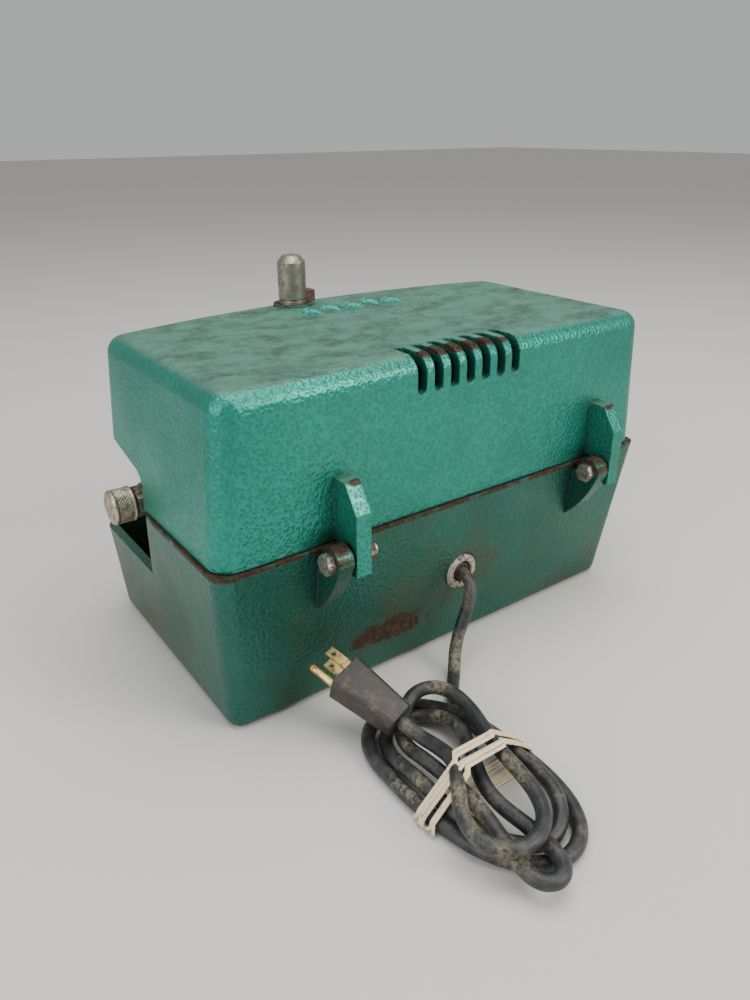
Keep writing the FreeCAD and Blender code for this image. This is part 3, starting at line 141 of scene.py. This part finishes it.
TOP_TURN = [
    (66, 139.5, 18), (55, 144.5, 21), (50, 158, 22), (52, 176, 22.3), (58, 194, 22.3), (62, 209, 22.3),
    (64, 226, 22), (68, 243, 21.8), (77, 257, 21.8), (92, 263, 21.8), (106, 258, 21.8), (112, 244, 21.8),
    (108, 229, 22.4), (98, 216, 23.6), (88, 202, 24.0), (86, 187, 20.8), (87.9, 171.5, 18.8), (92, 159, 23),
]


def calc(tree, operation, first, second=0.0, third=0.0, clamp=False):
    """One sum on numbers or sockets."""
    made = tree.nodes.new("ShaderNodeMath")
    made.operation = operation
    made.use_clamp = clamp
    for socket, operand in zip(made.inputs, (first, second, third)):
        if isinstance(operand, bpy.types.NodeSocket):
            tree.links.new(operand, socket)
        else:
            socket.default_value = operand
    return made.outputs[0]


def ramp(tree, socket, low, high):
    """Rise from 0 to 1, with soft ends, as the socket goes from low to high."""
    made = tree.nodes.new("ShaderNodeMapRange")
    made.interpolation_type = "SMOOTHSTEP"
    tree.links.new(socket, made.inputs["Value"])
    made.inputs["From Min"].default_value = low
    made.inputs["From Max"].default_value = high
    return made.outputs["Result"]


def blend(tree, share, first, second):
    """Mix two colours, given as sockets or as triples, by a share from 0 to 1."""
    made = tree.nodes.new("ShaderNodeMix")
    made.data_type = "RGBA"
    for socket, operand in ((made.inputs[0], share), (made.inputs[6], first), (made.inputs[7], second)):
        if isinstance(operand, bpy.types.NodeSocket):
            tree.links.new(operand, socket)
        elif isinstance(operand, tuple):
            socket.default_value = operand + (1.0,)
        else:
            socket.default_value = operand
    return made.outputs[2]


def start_material(name):
    """New material with its shader, its object coordinates and their three numbers."""
    material = bpy.data.materials.new(name)
    material.use_nodes = True
    tree = material.node_tree
    shader = tree.nodes["Principled BSDF"]
    where = tree.nodes.new("ShaderNodeTexCoord").outputs["Object"]
    split = tree.nodes.new("ShaderNodeSeparateXYZ")
    tree.links.new(where, split.inputs[0])
    return material, tree, shader, where, split.outputs


def noise(tree, where, scale, detail=3.0, roughness=0.55):
    made = tree.nodes.new("ShaderNodeTexNoise")
    tree.links.new(where, made.inputs["Vector"])
    made.inputs["Scale"].default_value = scale
    made.inputs["Detail"].default_value = detail
    made.inputs["Roughness"].default_value = roughness
    return made.outputs["Fac"]


def stretched(tree, where, scale):
    made = tree.nodes.new("ShaderNodeMapping")
    tree.links.new(where, made.inputs["Vector"])
    made.inputs["Scale"].default_value = scale
    return made.outputs["Vector"]


def relief(tree, shader, height, distance, strength=1.0, edge=0.0):
    """Raise the surface by a height from 0 to 1 over a distance, with edges rounded by a small radius."""
    bump = tree.nodes.new("ShaderNodeBump")
    bump.inputs["Strength"].default_value = strength
    bump.inputs["Distance"].default_value = distance
    tree.links.new(height, bump.inputs["Height"])
    if edge:
        soft = tree.nodes.new("ShaderNodeBevel")
        soft.samples = 4
        soft.inputs["Radius"].default_value = edge
        tree.links.new(soft.outputs[0], bump.inputs["Normal"])
    tree.links.new(bump.outputs[0], shader.inputs["Normal"])


def cord_rubber():
    material, tree, shader, where, _ = start_material("cord_rubber")
    dust = calc(tree, "MULTIPLY", ramp(tree, noise(tree, where, 42.0, 4.0), 0.47, 0.66),
                ramp(tree, noise(tree, where, 420.0, 3.0, 0.7), 0.36, 0.62))
    handled = ramp(tree, noise(tree, where, 130.0), 0.35, 0.7)
    colour = blend(tree, handled, (0.016, 0.018, 0.020), (0.040, 0.041, 0.040))
    colour = blend(tree, calc(tree, "MULTIPLY", dust, 0.75), colour, (0.27, 0.22, 0.145))
    tree.links.new(colour, shader.inputs["Base Color"])
    tree.links.new(calc(tree, "ADD", calc(tree, "MULTIPLY", dust, 0.4), 0.42), shader.inputs["Roughness"])
    relief(tree, shader, noise(tree, where, 900.0, 3.0), 0.0003)
    return material


def open_curve(name, points, diameter, material):
    """Round cord along one open spline of order 3 through given control points."""
    curve = bpy.data.curves.new(name, "CURVE")
    curve.dimensions = "3D"
    curve.bevel_depth = diameter / 2
    curve.bevel_resolution = 6
    curve.resolution_u = 10
    curve.use_fill_caps = True
    spline = curve.splines.new("NURBS")
    spline.points.add(len(points) - 1)
    placed = np.ones((len(points), 4))
    placed[:, :3] = np.array(points) / 1000
    spline.points.foreach_set("co", placed.ravel())
    spline.order_u = 3
    spline.use_endpoint_u = True
    curve.materials.append(material)
    made = bpy.data.objects.new(name, curve)
    bpy.context.collection.objects.link(made)
    return made


route = LEAD_POINTS + FIRST_TURN + SECOND_TURN + MIDDLE_TURN + TOP_TURN
cord = open_curve("mains_cord", route, CORD_DIAMETER, cord_rubber())
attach(cord, "base")
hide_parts("cord_lead", "cord_hank", "cord_tail")

# ---------------------------------------------------------------- rubber band
# A natural rubber band wound seven times about the coil's middle. Its turns lie side by side, cross
# here and there, and follow the outline of the strands that they hold.
def band_turns():
    """Each turn follows the outline of the strands, circle by circle: in every direction about the
    coil it takes the strand that lies furthest out, goes a radius beyond it, and adds a thin round tube."""
    strands = np.array([(39.5, 4.4), (49, 13), (62, 22.3), (77, 13.8),
                        (88, 23.6), (93, 15.3), (103.5, 11), (111, 4.4)]) / 1000
    around = np.linspace(0, 2 * np.pi, 200, endpoint=False)
    ring = np.linspace(0, 2 * np.pi, 8, endpoint=False)
    ways = np.stack([np.cos(around), np.sin(around)], 1)
    furthest = np.argmax(ways @ strands.T, 1)
    points, faces = [], []
    for turn in range(7):
        lift = CORD_DIAMETER / 2 + 0.0010 + 0.0007 * (turn % 3 == 1)
        path = strands[furthest] + lift * ways
        for _ in range(3):
            path = (np.roll(path, 1, 0) + 2 * path + np.roll(path, -1, 0)) / 4
        path[:, 1] = np.maximum(path[:, 1], 0.0009)
        wander = 0.0022 * np.sin(around * (1 + turn % 2) + 1.3 * turn)
        slant = 0.004 * np.cos(around)
        along = 0.2065 + 0.0019 * (turn - 3) + wander + slant
        half_width, half_height = 0.00125, 0.0007
        grid = np.empty((len(around), len(ring), 3))
        grid[:, :, 0] = path[:, 0, None] + ways[:, 0, None] * half_height * np.sin(ring)
        grid[:, :, 2] = np.maximum(path[:, 1, None] + ways[:, 1, None] * half_height * np.sin(ring), 0.0001)
        grid[:, :, 1] = along[:, None] + half_width * np.cos(ring)
        start = sum(len(p) for p in points)
        points.append(grid.reshape(-1, 3))
        i, j = np.meshgrid(np.arange(len(around)), np.arange(len(ring)), indexing="ij")
        a = start + i * len(ring) + j
        b = start + (i + 1) % len(around) * len(ring) + j
        c = start + (i + 1) % len(around) * len(ring) + (j + 1) % len(ring)
        d = start + i * len(ring) + (j + 1) % len(ring)
        faces.append(np.stack([a, d, c, b], -1).reshape(-1, 4))
    return mesh_from("rubber_band", np.vstack(points), np.vstack(faces))


def natural_rubber():
    material, tree, shader, where, _ = start_material("natural_rubber")
    grime = ramp(tree, noise(tree, where, 300.0, 3.0), 0.50, 0.75)
    colour = blend(tree, grime, (0.80, 0.66, 0.44), (0.50, 0.38, 0.24))
    tree.links.new(colour, shader.inputs["Base Color"])
    shader.inputs["Roughness"].default_value = 0.48
    relief(tree, shader, noise(tree, where, 1400.0), 0.0002)
    return material


band = band_turns()
band.data.materials.append(natural_rubber())
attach(band, "base")
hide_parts("cord_band")


def finish_node(name, material):
    """Give a CAD piece its finish."""
    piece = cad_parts[name]
    piece.data.materials.clear()
    piece.data.materials.append(material)


# ---------------------------------------------------------------- plug
# Moulded brown-black rubber plug, tapered towards the cord, with two flat brass blades and a longer
# round ground pin. The moulding is scuffed and dusty, and the brass is bright only where it rubs.
def plug_rubber():
    material, tree, shader, where, _ = start_material("plug_rubber")
    dust = ramp(tree, noise(tree, where, 160.0, 5.0, 0.65), 0.48, 0.68)
    colour = blend(tree, dust, (0.030, 0.023, 0.020), (0.11, 0.085, 0.062))
    tree.links.new(colour, shader.inputs["Base Color"])
    tree.links.new(calc(tree, "ADD", calc(tree, "MULTIPLY", dust, 0.25), 0.42), shader.inputs["Roughness"])
    relief(tree, shader, noise(tree, where, 1100.0, 4.0), 0.0002, edge=0.0010)
    return material


def aged_brass():
    material, tree, shader, where, _ = start_material("aged_brass")
    stain = ramp(tree, noise(tree, where, 240.0, 5.0, 0.65), 0.42, 0.66)
    colour = blend(tree, stain, (0.72, 0.52, 0.22), (0.28, 0.17, 0.08))
    tree.links.new(colour, shader.inputs["Base Color"])
    shader.inputs["Metallic"].default_value = 1.0
    tree.links.new(calc(tree, "ADD", calc(tree, "MULTIPLY", stain, 0.25), 0.30), shader.inputs["Roughness"])
    scratches = noise(tree, stretched(tree, where, (300.0, 1500.0, 900.0)), 1.0)
    relief(tree, shader, scratches, 0.0001, edge=0.0004)
    return material


brown_rubber = plug_rubber()
brass = aged_brass()
finish_node("plug_body", brown_rubber)
finish_node("plug_blades", brass)
finish_node("plug_ground_pin", brass)
finish_node("strain_relief", brown_rubber)


# ---------------------------------------------------------------- base casting
# Sand-cast aluminium tub in dark green hammertone enamel. Enamel pulled into small rounded cells as it
# dried; it is worn to rusty brown round the seam, on the hinge lugs and in a patch above the floor.
def hammertone(name, deep, bright, rust_places, film_share, top_grime_and_reflection=0.0, rim=None):
    """Hammertone enamel: rounded cells, thin at their edges; a brown film; painted shade in crevices; rust
    in given places and along a rim; wear on edges. top_grime_and_reflection paints the faces that look up in
    the piece's own frame a paler grey teal, a painted reflection of the sky, then streaks them with grime
    and roughens them."""
    material, tree, shader, where, axes = start_material(name)
    wander = tree.nodes.new("ShaderNodeVectorMath")
    wander.operation = "MULTIPLY_ADD"
    warp = tree.nodes.new("ShaderNodeTexNoise")
    tree.links.new(where, warp.inputs["Vector"])
    warp.inputs["Scale"].default_value = 260.0
    tree.links.new(warp.outputs["Color"], wander.inputs[0])
    wander.inputs[1].default_value = (0.0022, 0.0022, 0.0022)
    tree.links.new(where, wander.inputs[2])
    cells = tree.nodes.new("ShaderNodeTexVoronoi")
    cells.feature = "SMOOTH_F1"
    cells.inputs["Scale"].default_value = 480.0
    cells.inputs["Smoothness"].default_value = 0.7
    tree.links.new(wander.outputs[0], cells.inputs["Vector"])
    dimple = ramp(tree, cells.outputs["Distance"], 0.05, 0.75)
    colour = blend(tree, dimple, deep, bright)
    patchy = ramp(tree, noise(tree, where, 14.0, 4.0), 0.35, 0.70)
    colour = blend(tree, calc(tree, "MULTIPLY", patchy, 0.30), colour, tuple(0.6 * part for part in deep))
    film = ramp(tree, noise(tree, where, 9.0, 8.0, 0.70), 0.46, 0.72)
    colour = blend(tree, calc(tree, "MULTIPLY", film, film_share), colour, (0.060, 0.070, 0.035))
    normal = tree.nodes.new("ShaderNodeNewGeometry").outputs["Normal"]
    facing = tree.nodes.new("ShaderNodeSeparateXYZ")
    own_normal = tree.nodes.new("ShaderNodeTexCoord").outputs["Normal"]
    tree.links.new(own_normal, facing.inputs[0])
    rough = calc(tree, "ADD", calc(tree, "MULTIPLY", patchy, 0.10), 0.36)
    if top_grime_and_reflection:
        streaks = noise(tree, stretched(tree, where, (46.0, 62.0, 46.0)), 1.0, 8.0, 0.80)
        upward = ramp(tree, facing.outputs["Z"], 0.80, 0.98)
        # Painted reflection: faces that look up are blended towards a paler grey teal as if they reflected
        # the pale sky. The dark streaks that follow are grime.
        colour = blend(tree, calc(tree, "MULTIPLY", upward, 0.80), colour, (0.115, 0.275, 0.205))
        streaked = calc(tree, "MULTIPLY", ramp(tree, streaks, 0.38, 0.72), top_grime_and_reflection)
        dirt = calc(tree, "MULTIPLY", upward, streaked)
        colour = blend(tree, dirt, colour, (0.040, 0.048, 0.036))
        rough = calc(tree, "ADD", rough, calc(tree, "MULTIPLY", upward, 0.22))
    # Painted shade: ambient occlusion darkens the enamel towards dark brown in crevices, under the lugs and
    # between parts.
    hollow = tree.nodes.new("ShaderNodeAmbientOcclusion")
    hollow.samples = 4
    hollow.inputs["Distance"].default_value = 0.012
    painted_crevice_shade = ramp(tree, calc(tree, "SUBTRACT", 1.0, hollow.outputs["AO"]), 0.30, 0.85)
    colour = blend(tree, calc(tree, "MULTIPLY", painted_crevice_shade, 0.75), colour, (0.030, 0.026, 0.020))
    ragged = noise(tree, where, 95.0, 6.0, 0.70)
    total = 0.0
    for centre, spread in rust_places:
        away = tree.nodes.new("ShaderNodeVectorMath")
        away.operation = "SUBTRACT"
        tree.links.new(where, away.inputs[0])
        away.inputs[1].default_value = centre
        shrink = tree.nodes.new("ShaderNodeVectorMath")
        shrink.operation = "DIVIDE"
        tree.links.new(away.outputs[0], shrink.inputs[0])
        shrink.inputs[1].default_value = spread
        size = tree.nodes.new("ShaderNodeVectorMath")
        size.operation = "LENGTH"
        tree.links.new(shrink.outputs[0], size.inputs[0])
        near = calc(tree, "SUBTRACT", 1.25, size.outputs["Value"])
        near = calc(tree, "ADD", near, calc(tree, "MULTIPLY", calc(tree, "SUBTRACT", ragged, 0.5), 1.8))
        total = calc(tree, "MAXIMUM", total, ramp(tree, near, 0.15, 0.40))
    if rim:
        low, high = rim
        above = ramp(tree, axes["Z"], low - 0.0006, low)
        below = ramp(tree, axes["Z"], high + 0.0006, high)
        band_here = calc(tree, "MULTIPLY", above, below)
        worn = calc(tree, "MULTIPLY", band_here, ramp(tree, noise(tree, where, 60.0, 5.0, 0.7), 0.36, 0.52))
        total = calc(tree, "MAXIMUM", total, worn)
    soft = tree.nodes.new("ShaderNodeBevel")
    soft.samples = 4
    soft.inputs["Radius"].default_value = 0.0018
    turned = tree.nodes.new("ShaderNodeVectorMath")
    turned.operation = "DOT_PRODUCT"
    tree.links.new(soft.outputs[0], turned.inputs[0])
    tree.links.new(normal, turned.inputs[1])
    edge = ramp(tree, calc(tree, "SUBTRACT", 1.0, turned.outputs["Value"]), 0.05, 0.22)
    edge = calc(tree, "MULTIPLY", edge, ramp(tree, ragged, 0.50, 0.60))
    total = calc(tree, "MAXIMUM", total, calc(tree, "MULTIPLY", edge, 0.8))
    crust = ramp(tree, noise(tree, where, 420.0, 4.0, 0.7), 0.35, 0.70)
    brown = blend(tree, crust, (0.030, 0.021, 0.014), (0.110, 0.066, 0.038))
    colour = blend(tree, total, colour, brown)
    tree.links.new(colour, shader.inputs["Base Color"])
    rough = calc(tree, "ADD", rough, calc(tree, "MULTIPLY", total, 0.35), clamp=True)
    tree.links.new(rough, shader.inputs["Roughness"])
    shader.inputs["Metallic"].default_value = 0.72
    shader.inputs["Coat Weight"].default_value = 0.08
    shader.inputs["Coat Roughness"].default_value = 0.18
    grain = noise(tree, where, 1500.0, 3.0)
    enamel_left = calc(tree, "SUBTRACT", 1.0, calc(tree, "MULTIPLY", total, 0.8))
    cells_left = calc(tree, "MULTIPLY", dimple, enamel_left)
    crusted = calc(tree, "MULTIPLY", grain, calc(tree, "MULTIPLY", total, 0.5))
    height = calc(tree, "ADD", cells_left, crusted)
    relief(tree, shader, height, 0.00030, 0.9, edge=0.0012)
    return material


HINGES = (-0.1145, 0.0970)
lug_tops = []
for lug_x in (HINGES[0] + 0.006, HINGES[1] + 0.006):
    lug_tops.append(((lug_x, 0.112, 0.121), (0.009, 0.012, 0.006)))
worn_patch = ((0.052, 0.100, 0.032), (0.030, 0.020, 0.010))
bushing_surround = ((-0.0065, 0.104, 0.058), (0.013, 0.012, 0.013))
base_paint = hammertone(
    "base_enamel", (0.012, 0.098, 0.070), (0.020, 0.135, 0.098),
    lug_tops + [worn_patch, bushing_surround],
    film_share=0.75, rim=(0.1135, 0.1164),
)
finish_node("base_casting", base_paint)

# ---------------------------------------------------------------- lid casting
# Cast lid, enamelled a brighter teal than the base. Its top is streaked and roughened by years of grime and
# carries a painted reflection of the sky as a paler grey teal; the lower ends of the vent slots are rusty,
# and a raised ornament stands beside the post.
vent_places = []
for slot in range(7):
    vent_places.append(((0.0315 - 0.0109 * slot, 0.119, 0.1905), (0.0034, 0.0060, 0.0032)))
vent_places.append(((-0.001, 0.096, 0.2120), (0.038, 0.009, 0.0030)))
lid_lugs = []
for lug_x in (HINGES[0] - 0.006, HINGES[1] - 0.006):
    lid_lugs.append(((lug_x, 0.124, 0.1560), (0.009, 0.012, 0.0030)))
post_foot = ((0.021, -0.062, 0.2135), (0.013, 0.013, 0.004))
casting_pits = []
for pit in ((0.028, 0.118, 0.155), (-0.030, 0.118, 0.166), (0.055, 0.118, 0.158)):
    casting_pits.append((pit, (0.0011, 0.0060, 0.0011)))
lid_paint = hammertone(
    "lid_enamel", (0.014, 0.205, 0.150), (0.022, 0.280, 0.210),
    vent_places + lid_lugs + [post_foot] + casting_pits,
    film_share=0.25, top_grime_and_reflection=0.90,
)
finish_node("lid_casting", lid_paint)


LID_TOP = 0.2126


def ornament():
    """Raised vine on the lid's top. A stem runs along a gentle wave and carries leaves by turns on each
    side; every leaf is a lens whose half width is a half sine of the way along it. Heights fall from the
    middle line to nothing at the edge, so each leaf is a low ridge that sits on the casting."""
    points, faces = [], []

    def ridge(start, end, width, height, bow):
        along = np.linspace(0.0, 1.0, 15)
        across = np.linspace(-1.0, 1.0, 7)
        run = np.array(end) - np.array(start)
        side = np.array((-run[1], run[0])) / np.linalg.norm(run)
        swell = np.sin(np.pi * np.clip(along, 0.01, 0.99)) ** 0.6
        grid = np.empty((len(along), len(across), 3))
        middle = np.array(start) + along[:, None] * run + (bow * np.sin(np.pi * along))[:, None] * side
        grid[:, :, :2] = middle[:, None, :] + (width * swell[:, None] * across)[:, :, None] * side
        dome = np.sqrt(np.maximum(1.0 - across ** 2, 0.0))
        grid[:, :, 2] = LID_TOP - 0.0003 + height * swell[:, None] * dome
        first = sum(len(part) for part in points)
        i, j = np.meshgrid(np.arange(len(along) - 1), np.arange(len(across) - 1), indexing="ij")
        corner = first + i * len(across) + j
        points.append(grid.reshape(-1, 3))
        beyond = corner + len(across)
        faces.append(np.stack([corner, beyond, beyond + 1, corner + 1], -1).reshape(-1, 4))

    stem = np.array([(0.033 - 0.0170 * k, -0.034 + 0.0022 * (-1) ** k) for k in range(6)])
    for k in range(5):
        ridge(stem[k] + (0.001, 0.0), stem[k + 1] - (0.001, 0.0), 0.0018, 0.0030, 0.0016 * (-1) ** k)
        for turn in (-1, 1):
            tip = stem[k] + np.array((-0.0130, turn * 0.0090))
            ridge(stem[k], tip, 0.0034, 0.0036, 0.0016 * turn)
    return mesh_from("lid_ornament", np.vstack(points), np.vstack(faces))


vine = ornament()
vine.data.materials.append(lid_paint)
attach(vine, "lid")


# ---------------------------------------------------------------- post, clamp and hinge hardware
# The post is a turned steel rod gone dull and freckled with rust; its clamp and the hinge bolts and
# nuts are plain zinc-plated steel, dirty in the corners and browned by rust.
def old_metal(name, clean, stained, rust_share, rough=0.38, cell=260.0, brushed=None, metallic=1.0,
              edge=0.0006, painted_groove_shade=0.0):
    """Bare or plated metal: stains in patches and rust freckles, with fine turned lines and, where asked,
    painted shade darkening the grooves."""
    material, tree, shader, where, _ = start_material(name)
    stain = ramp(tree, noise(tree, where, cell, 5.0, 0.62), 0.40, 0.68)
    rust_start = 0.68 - 0.32 * rust_share
    rust = ramp(tree, noise(tree, where, cell * 0.6, 6.0, 0.72), rust_start, rust_start + 0.12)
    colour = blend(tree, stain, clean, stained)
    colour = blend(tree, rust, colour, (0.100, 0.054, 0.028))
    # Painted shade: ambient occlusion darkens the grooves, such as the knob's knurling, towards dark brown.
    if painted_groove_shade:
        shade = tree.nodes.new("ShaderNodeAmbientOcclusion")
        shade.samples = 4
        shade.inputs["Distance"].default_value = painted_groove_shade
        deep = ramp(tree, calc(tree, "SUBTRACT", 1.0, shade.outputs["AO"]), 0.10, 0.45)
        colour = blend(tree, deep, colour, (0.045, 0.030, 0.020))
    tree.links.new(colour, shader.inputs["Base Color"])
    bare = calc(tree, "SUBTRACT", 1.0, calc(tree, "MULTIPLY", rust, 0.85))
    tree.links.new(calc(tree, "MULTIPLY", bare, metallic), shader.inputs["Metallic"])
    dulled = calc(tree, "MULTIPLY", calc(tree, "MAXIMUM", stain, rust), 0.28)
    tree.links.new(calc(tree, "ADD", rough, dulled), shader.inputs["Roughness"])
    fine = noise(tree, stretched(tree, where, brushed or (900.0, 900.0, 900.0)), 1.0, 3.0)
    relief(tree, shader, calc(tree, "ADD", fine, rust), 0.00012, edge=edge)
    return material


post_steel = old_metal("post_steel", (0.33, 0.305, 0.255), (0.19, 0.165, 0.13), 0.12,
                       brushed=(60.0, 60.0, 1800.0))
plated_steel = old_metal("plated_steel", (0.50, 0.49, 0.46), (0.19, 0.165, 0.13), 0.55)
rusty_steel = old_metal("rusty_steel", (0.22, 0.19, 0.15), (0.10, 0.075, 0.055), 0.80, rough=0.5)
finish_node("lift_post", post_steel)
finish_node("post_clamp", rusty_steel)
finish_node("hinge_bolts", plated_steel)
finish_node("hinge_nuts", rusty_steel)

# ---------------------------------------------------------------- cord bushing and wiring
# Pressed steel bushing, dull and gone rusty in patches, with its locknut inside. A moulded terminal
# block with brass screws takes the ends of the cord's cores.
bushing_metal = old_metal("bushing_metal", (0.58, 0.55, 0.48), (0.30, 0.25, 0.18), 0.60,
                          rough=0.42, metallic=0.80)
finish_node("cord_bushing", bushing_metal)
finish_node("bushing_locknut", plated_steel)


def moulding(name, dark, pale, edge=0.0006):
    """Moulded phenolic: dark, slightly mottled, with a dull gloss and a film of dust."""
    material, tree, shader, where, _ = start_material(name)
    mottle = ramp(tree, noise(tree, where, 210.0, 4.0, 0.6), 0.40, 0.70)
    tree.links.new(blend(tree, mottle, dark, pale), shader.inputs["Base Color"])
    tree.links.new(calc(tree, "ADD", calc(tree, "MULTIPLY", mottle, 0.2), 0.38), shader.inputs["Roughness"])
    relief(tree, shader, noise(tree, where, 1300.0, 3.0), 0.00008, edge=edge)
    return material


phenolic = moulding("phenolic", (0.022, 0.014, 0.010), (0.060, 0.040, 0.028))
finish_node("terminal_block", phenolic)
finish_node("terminal_screws", brass)

# ---------------------------------------------------------------- speed control
# Knurled metal knob with a bevelled face on a steel shaft. Its bushing passes the casting and is drawn up
# by a nut on a fibre washer; the wound resistor inside sits in a moulded body.
fibre = moulding("red_fibre", (0.135, 0.040, 0.022), (0.220, 0.080, 0.045), edge=0.0003)
# Knob metal, with painted shade darkening its knurled grooves.
knob_metal = old_metal("knob_metal", (0.56, 0.50, 0.38), (0.25, 0.19, 0.12), 0.25,
                       rough=0.34, edge=0.0, painted_groove_shade=0.0012)


GROOVES = 36
GROOVE_STEP = 0.0021
GROOVE_DEPTH = 0.00060


def knurled_knob():
    """Turned profile swept about the knob's axis. On the grip two sets of shallow grooves cross: the
    radius drops by the larger of two triangle waves of angle plus and minus the way along, so small
    pyramids stand between the grooves. The grip fades out over a millimetre at each end."""
    low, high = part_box("speed_knob")
    centre_y, centre_z = (low[1] + high[1]) / 2, (low[2] + high[2]) / 2
    radius = (high[1] - low[1]) / 2
    length = high[0] - low[0]
    inner = [(0.0, 0.0042), (0.0, radius - 0.0008), (0.0003, radius - 0.0003), (0.0008, radius)]
    grip = [(along, radius) for along in np.linspace(0.0011, length - 0.0022, 30)]
    outer = [(length - 0.0018, radius), (length - 0.0008, radius - 0.0006),
             (length - 0.0003, radius - 0.0016), (length, radius - 0.0028), (length, 0.0060),
             (length - 0.0004, 0.0052), (length - 0.0004, 0.0)]
    profile = np.array(inner + grip + outer)
    around = np.linspace(0, 2 * np.pi, 288, endpoint=False)
    along, reach = profile[:, 0, None], np.repeat(profile[:, 1, None], len(around), 1)
    fade = np.clip(np.minimum(along - 0.0014, length - 0.0026 - along) / 0.0008, 0, 1)
    fade = fade * (profile[:, 1, None] > radius - 1e-6)
    waves = []
    for sign in (-1, 1):
        phase = (around * GROOVES / (2 * np.pi) + sign * along / GROOVE_STEP) % 1.0
        waves.append(np.abs(phase - 0.5) * 2)
    reach = reach - GROOVE_DEPTH * fade * np.maximum(*waves)
    grid = np.empty(reach.shape + (3,))
    grid[:, :, 0] = low[0] + along
    grid[:, :, 1] = centre_y + reach * np.cos(around)
    grid[:, :, 2] = centre_z + reach * np.sin(around)
    i, j = np.meshgrid(np.arange(len(profile) - 1), np.arange(len(around)), indexing="ij")
    here, there = i * len(around), (i + 1) * len(around)
    following = (j + 1) % len(around)
    return mesh_from("knurled_knob", grid.reshape(-1, 3),
                     np.stack([here + j, there + j, there + following, here + following], -1).reshape(-1, 4))


knob = knurled_knob()
knob.data.materials.append(knob_metal)
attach(knob, "knob")
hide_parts("speed_knob")
finish_node("speed_knob", knob_metal)
finish_node("control_shaft", plated_steel)
finish_node("knob_screw", plated_steel)
finish_node("bushing_nut", plated_steel)
finish_node("fibre_washer", fibre)
finish_node("speed_control", phenolic)

# ---------------------------------------------------------------- deck and guard bowl
# Folded sheet-steel deck screwed to posts in the tub, and the spun bowl that would catch a broken tube.
sheet_steel = old_metal("sheet_steel", (0.46, 0.46, 0.45), (0.27, 0.26, 0.24), 0.10, cell=70.0)
spun_alloy = old_metal("spun_alloy", (0.66, 0.67, 0.68), (0.42, 0.42, 0.41), 0.0, cell=90.0,
                       brushed=(50.0, 50.0, 1600.0))
finish_node("deck_plate", sheet_steel)
finish_node("deck_screws", plated_steel)
finish_node("guard_bowl", spun_alloy)

# ---------------------------------------------------------------- rotor and its drive
# Cast alloy head with six brass tube shields on a ground steel spindle. Two ball bearings carry it in
# an iron housing, and a rubber belt joins its pulley to the motor's.
bright_steel = old_metal("bright_steel", (0.60, 0.60, 0.60), (0.42, 0.41, 0.39), 0.05, rough=0.24)
cast_iron = old_metal("cast_iron", (0.12, 0.12, 0.12), (0.075, 0.070, 0.065), 0.30, rough=0.55, metallic=0.7)
belt_rubber = moulding("belt_rubber", (0.014, 0.014, 0.014), (0.036, 0.035, 0.033))
for piece in ("rotor_head", "spindle_pulley", "motor_pulley", "cooling_fan"):
    finish_node(piece, spun_alloy)
for piece in ("spindle_shaft", "spindle_bearings", "rotor_nut", "motor_shaft", "motor_bearings"):
    finish_node(piece, bright_steel)
finish_node("tube_shields", brass)
finish_node("bearing_housing", cast_iron)
finish_node("drive_belt", belt_rubber)

# ---------------------------------------------------------------- motor
# Open universal motor: stacked laminations between two iron end bells, a wound armature with its copper
# commutator, and two carbon brushes in moulded tubes.
laminations = old_metal("laminations", (0.28, 0.28, 0.29), (0.16, 0.15, 0.14), 0.15,
                        brushed=(40.0, 40.0, 3000.0))
copper = old_metal("copper", (0.72, 0.33, 0.18), (0.34, 0.15, 0.08), 0.0)
carbon = moulding("carbon", (0.012, 0.012, 0.013), (0.030, 0.030, 0.032))
for piece in ("lower_end_bell", "upper_end_bell"):
    finish_node(piece, cast_iron)
for piece in ("field_core", "armature_core"):
    finish_node(piece, laminations)
finish_node("commutator", copper)
finish_node("brush_tubes", phenolic)
finish_node("carbon_brushes", carbon)
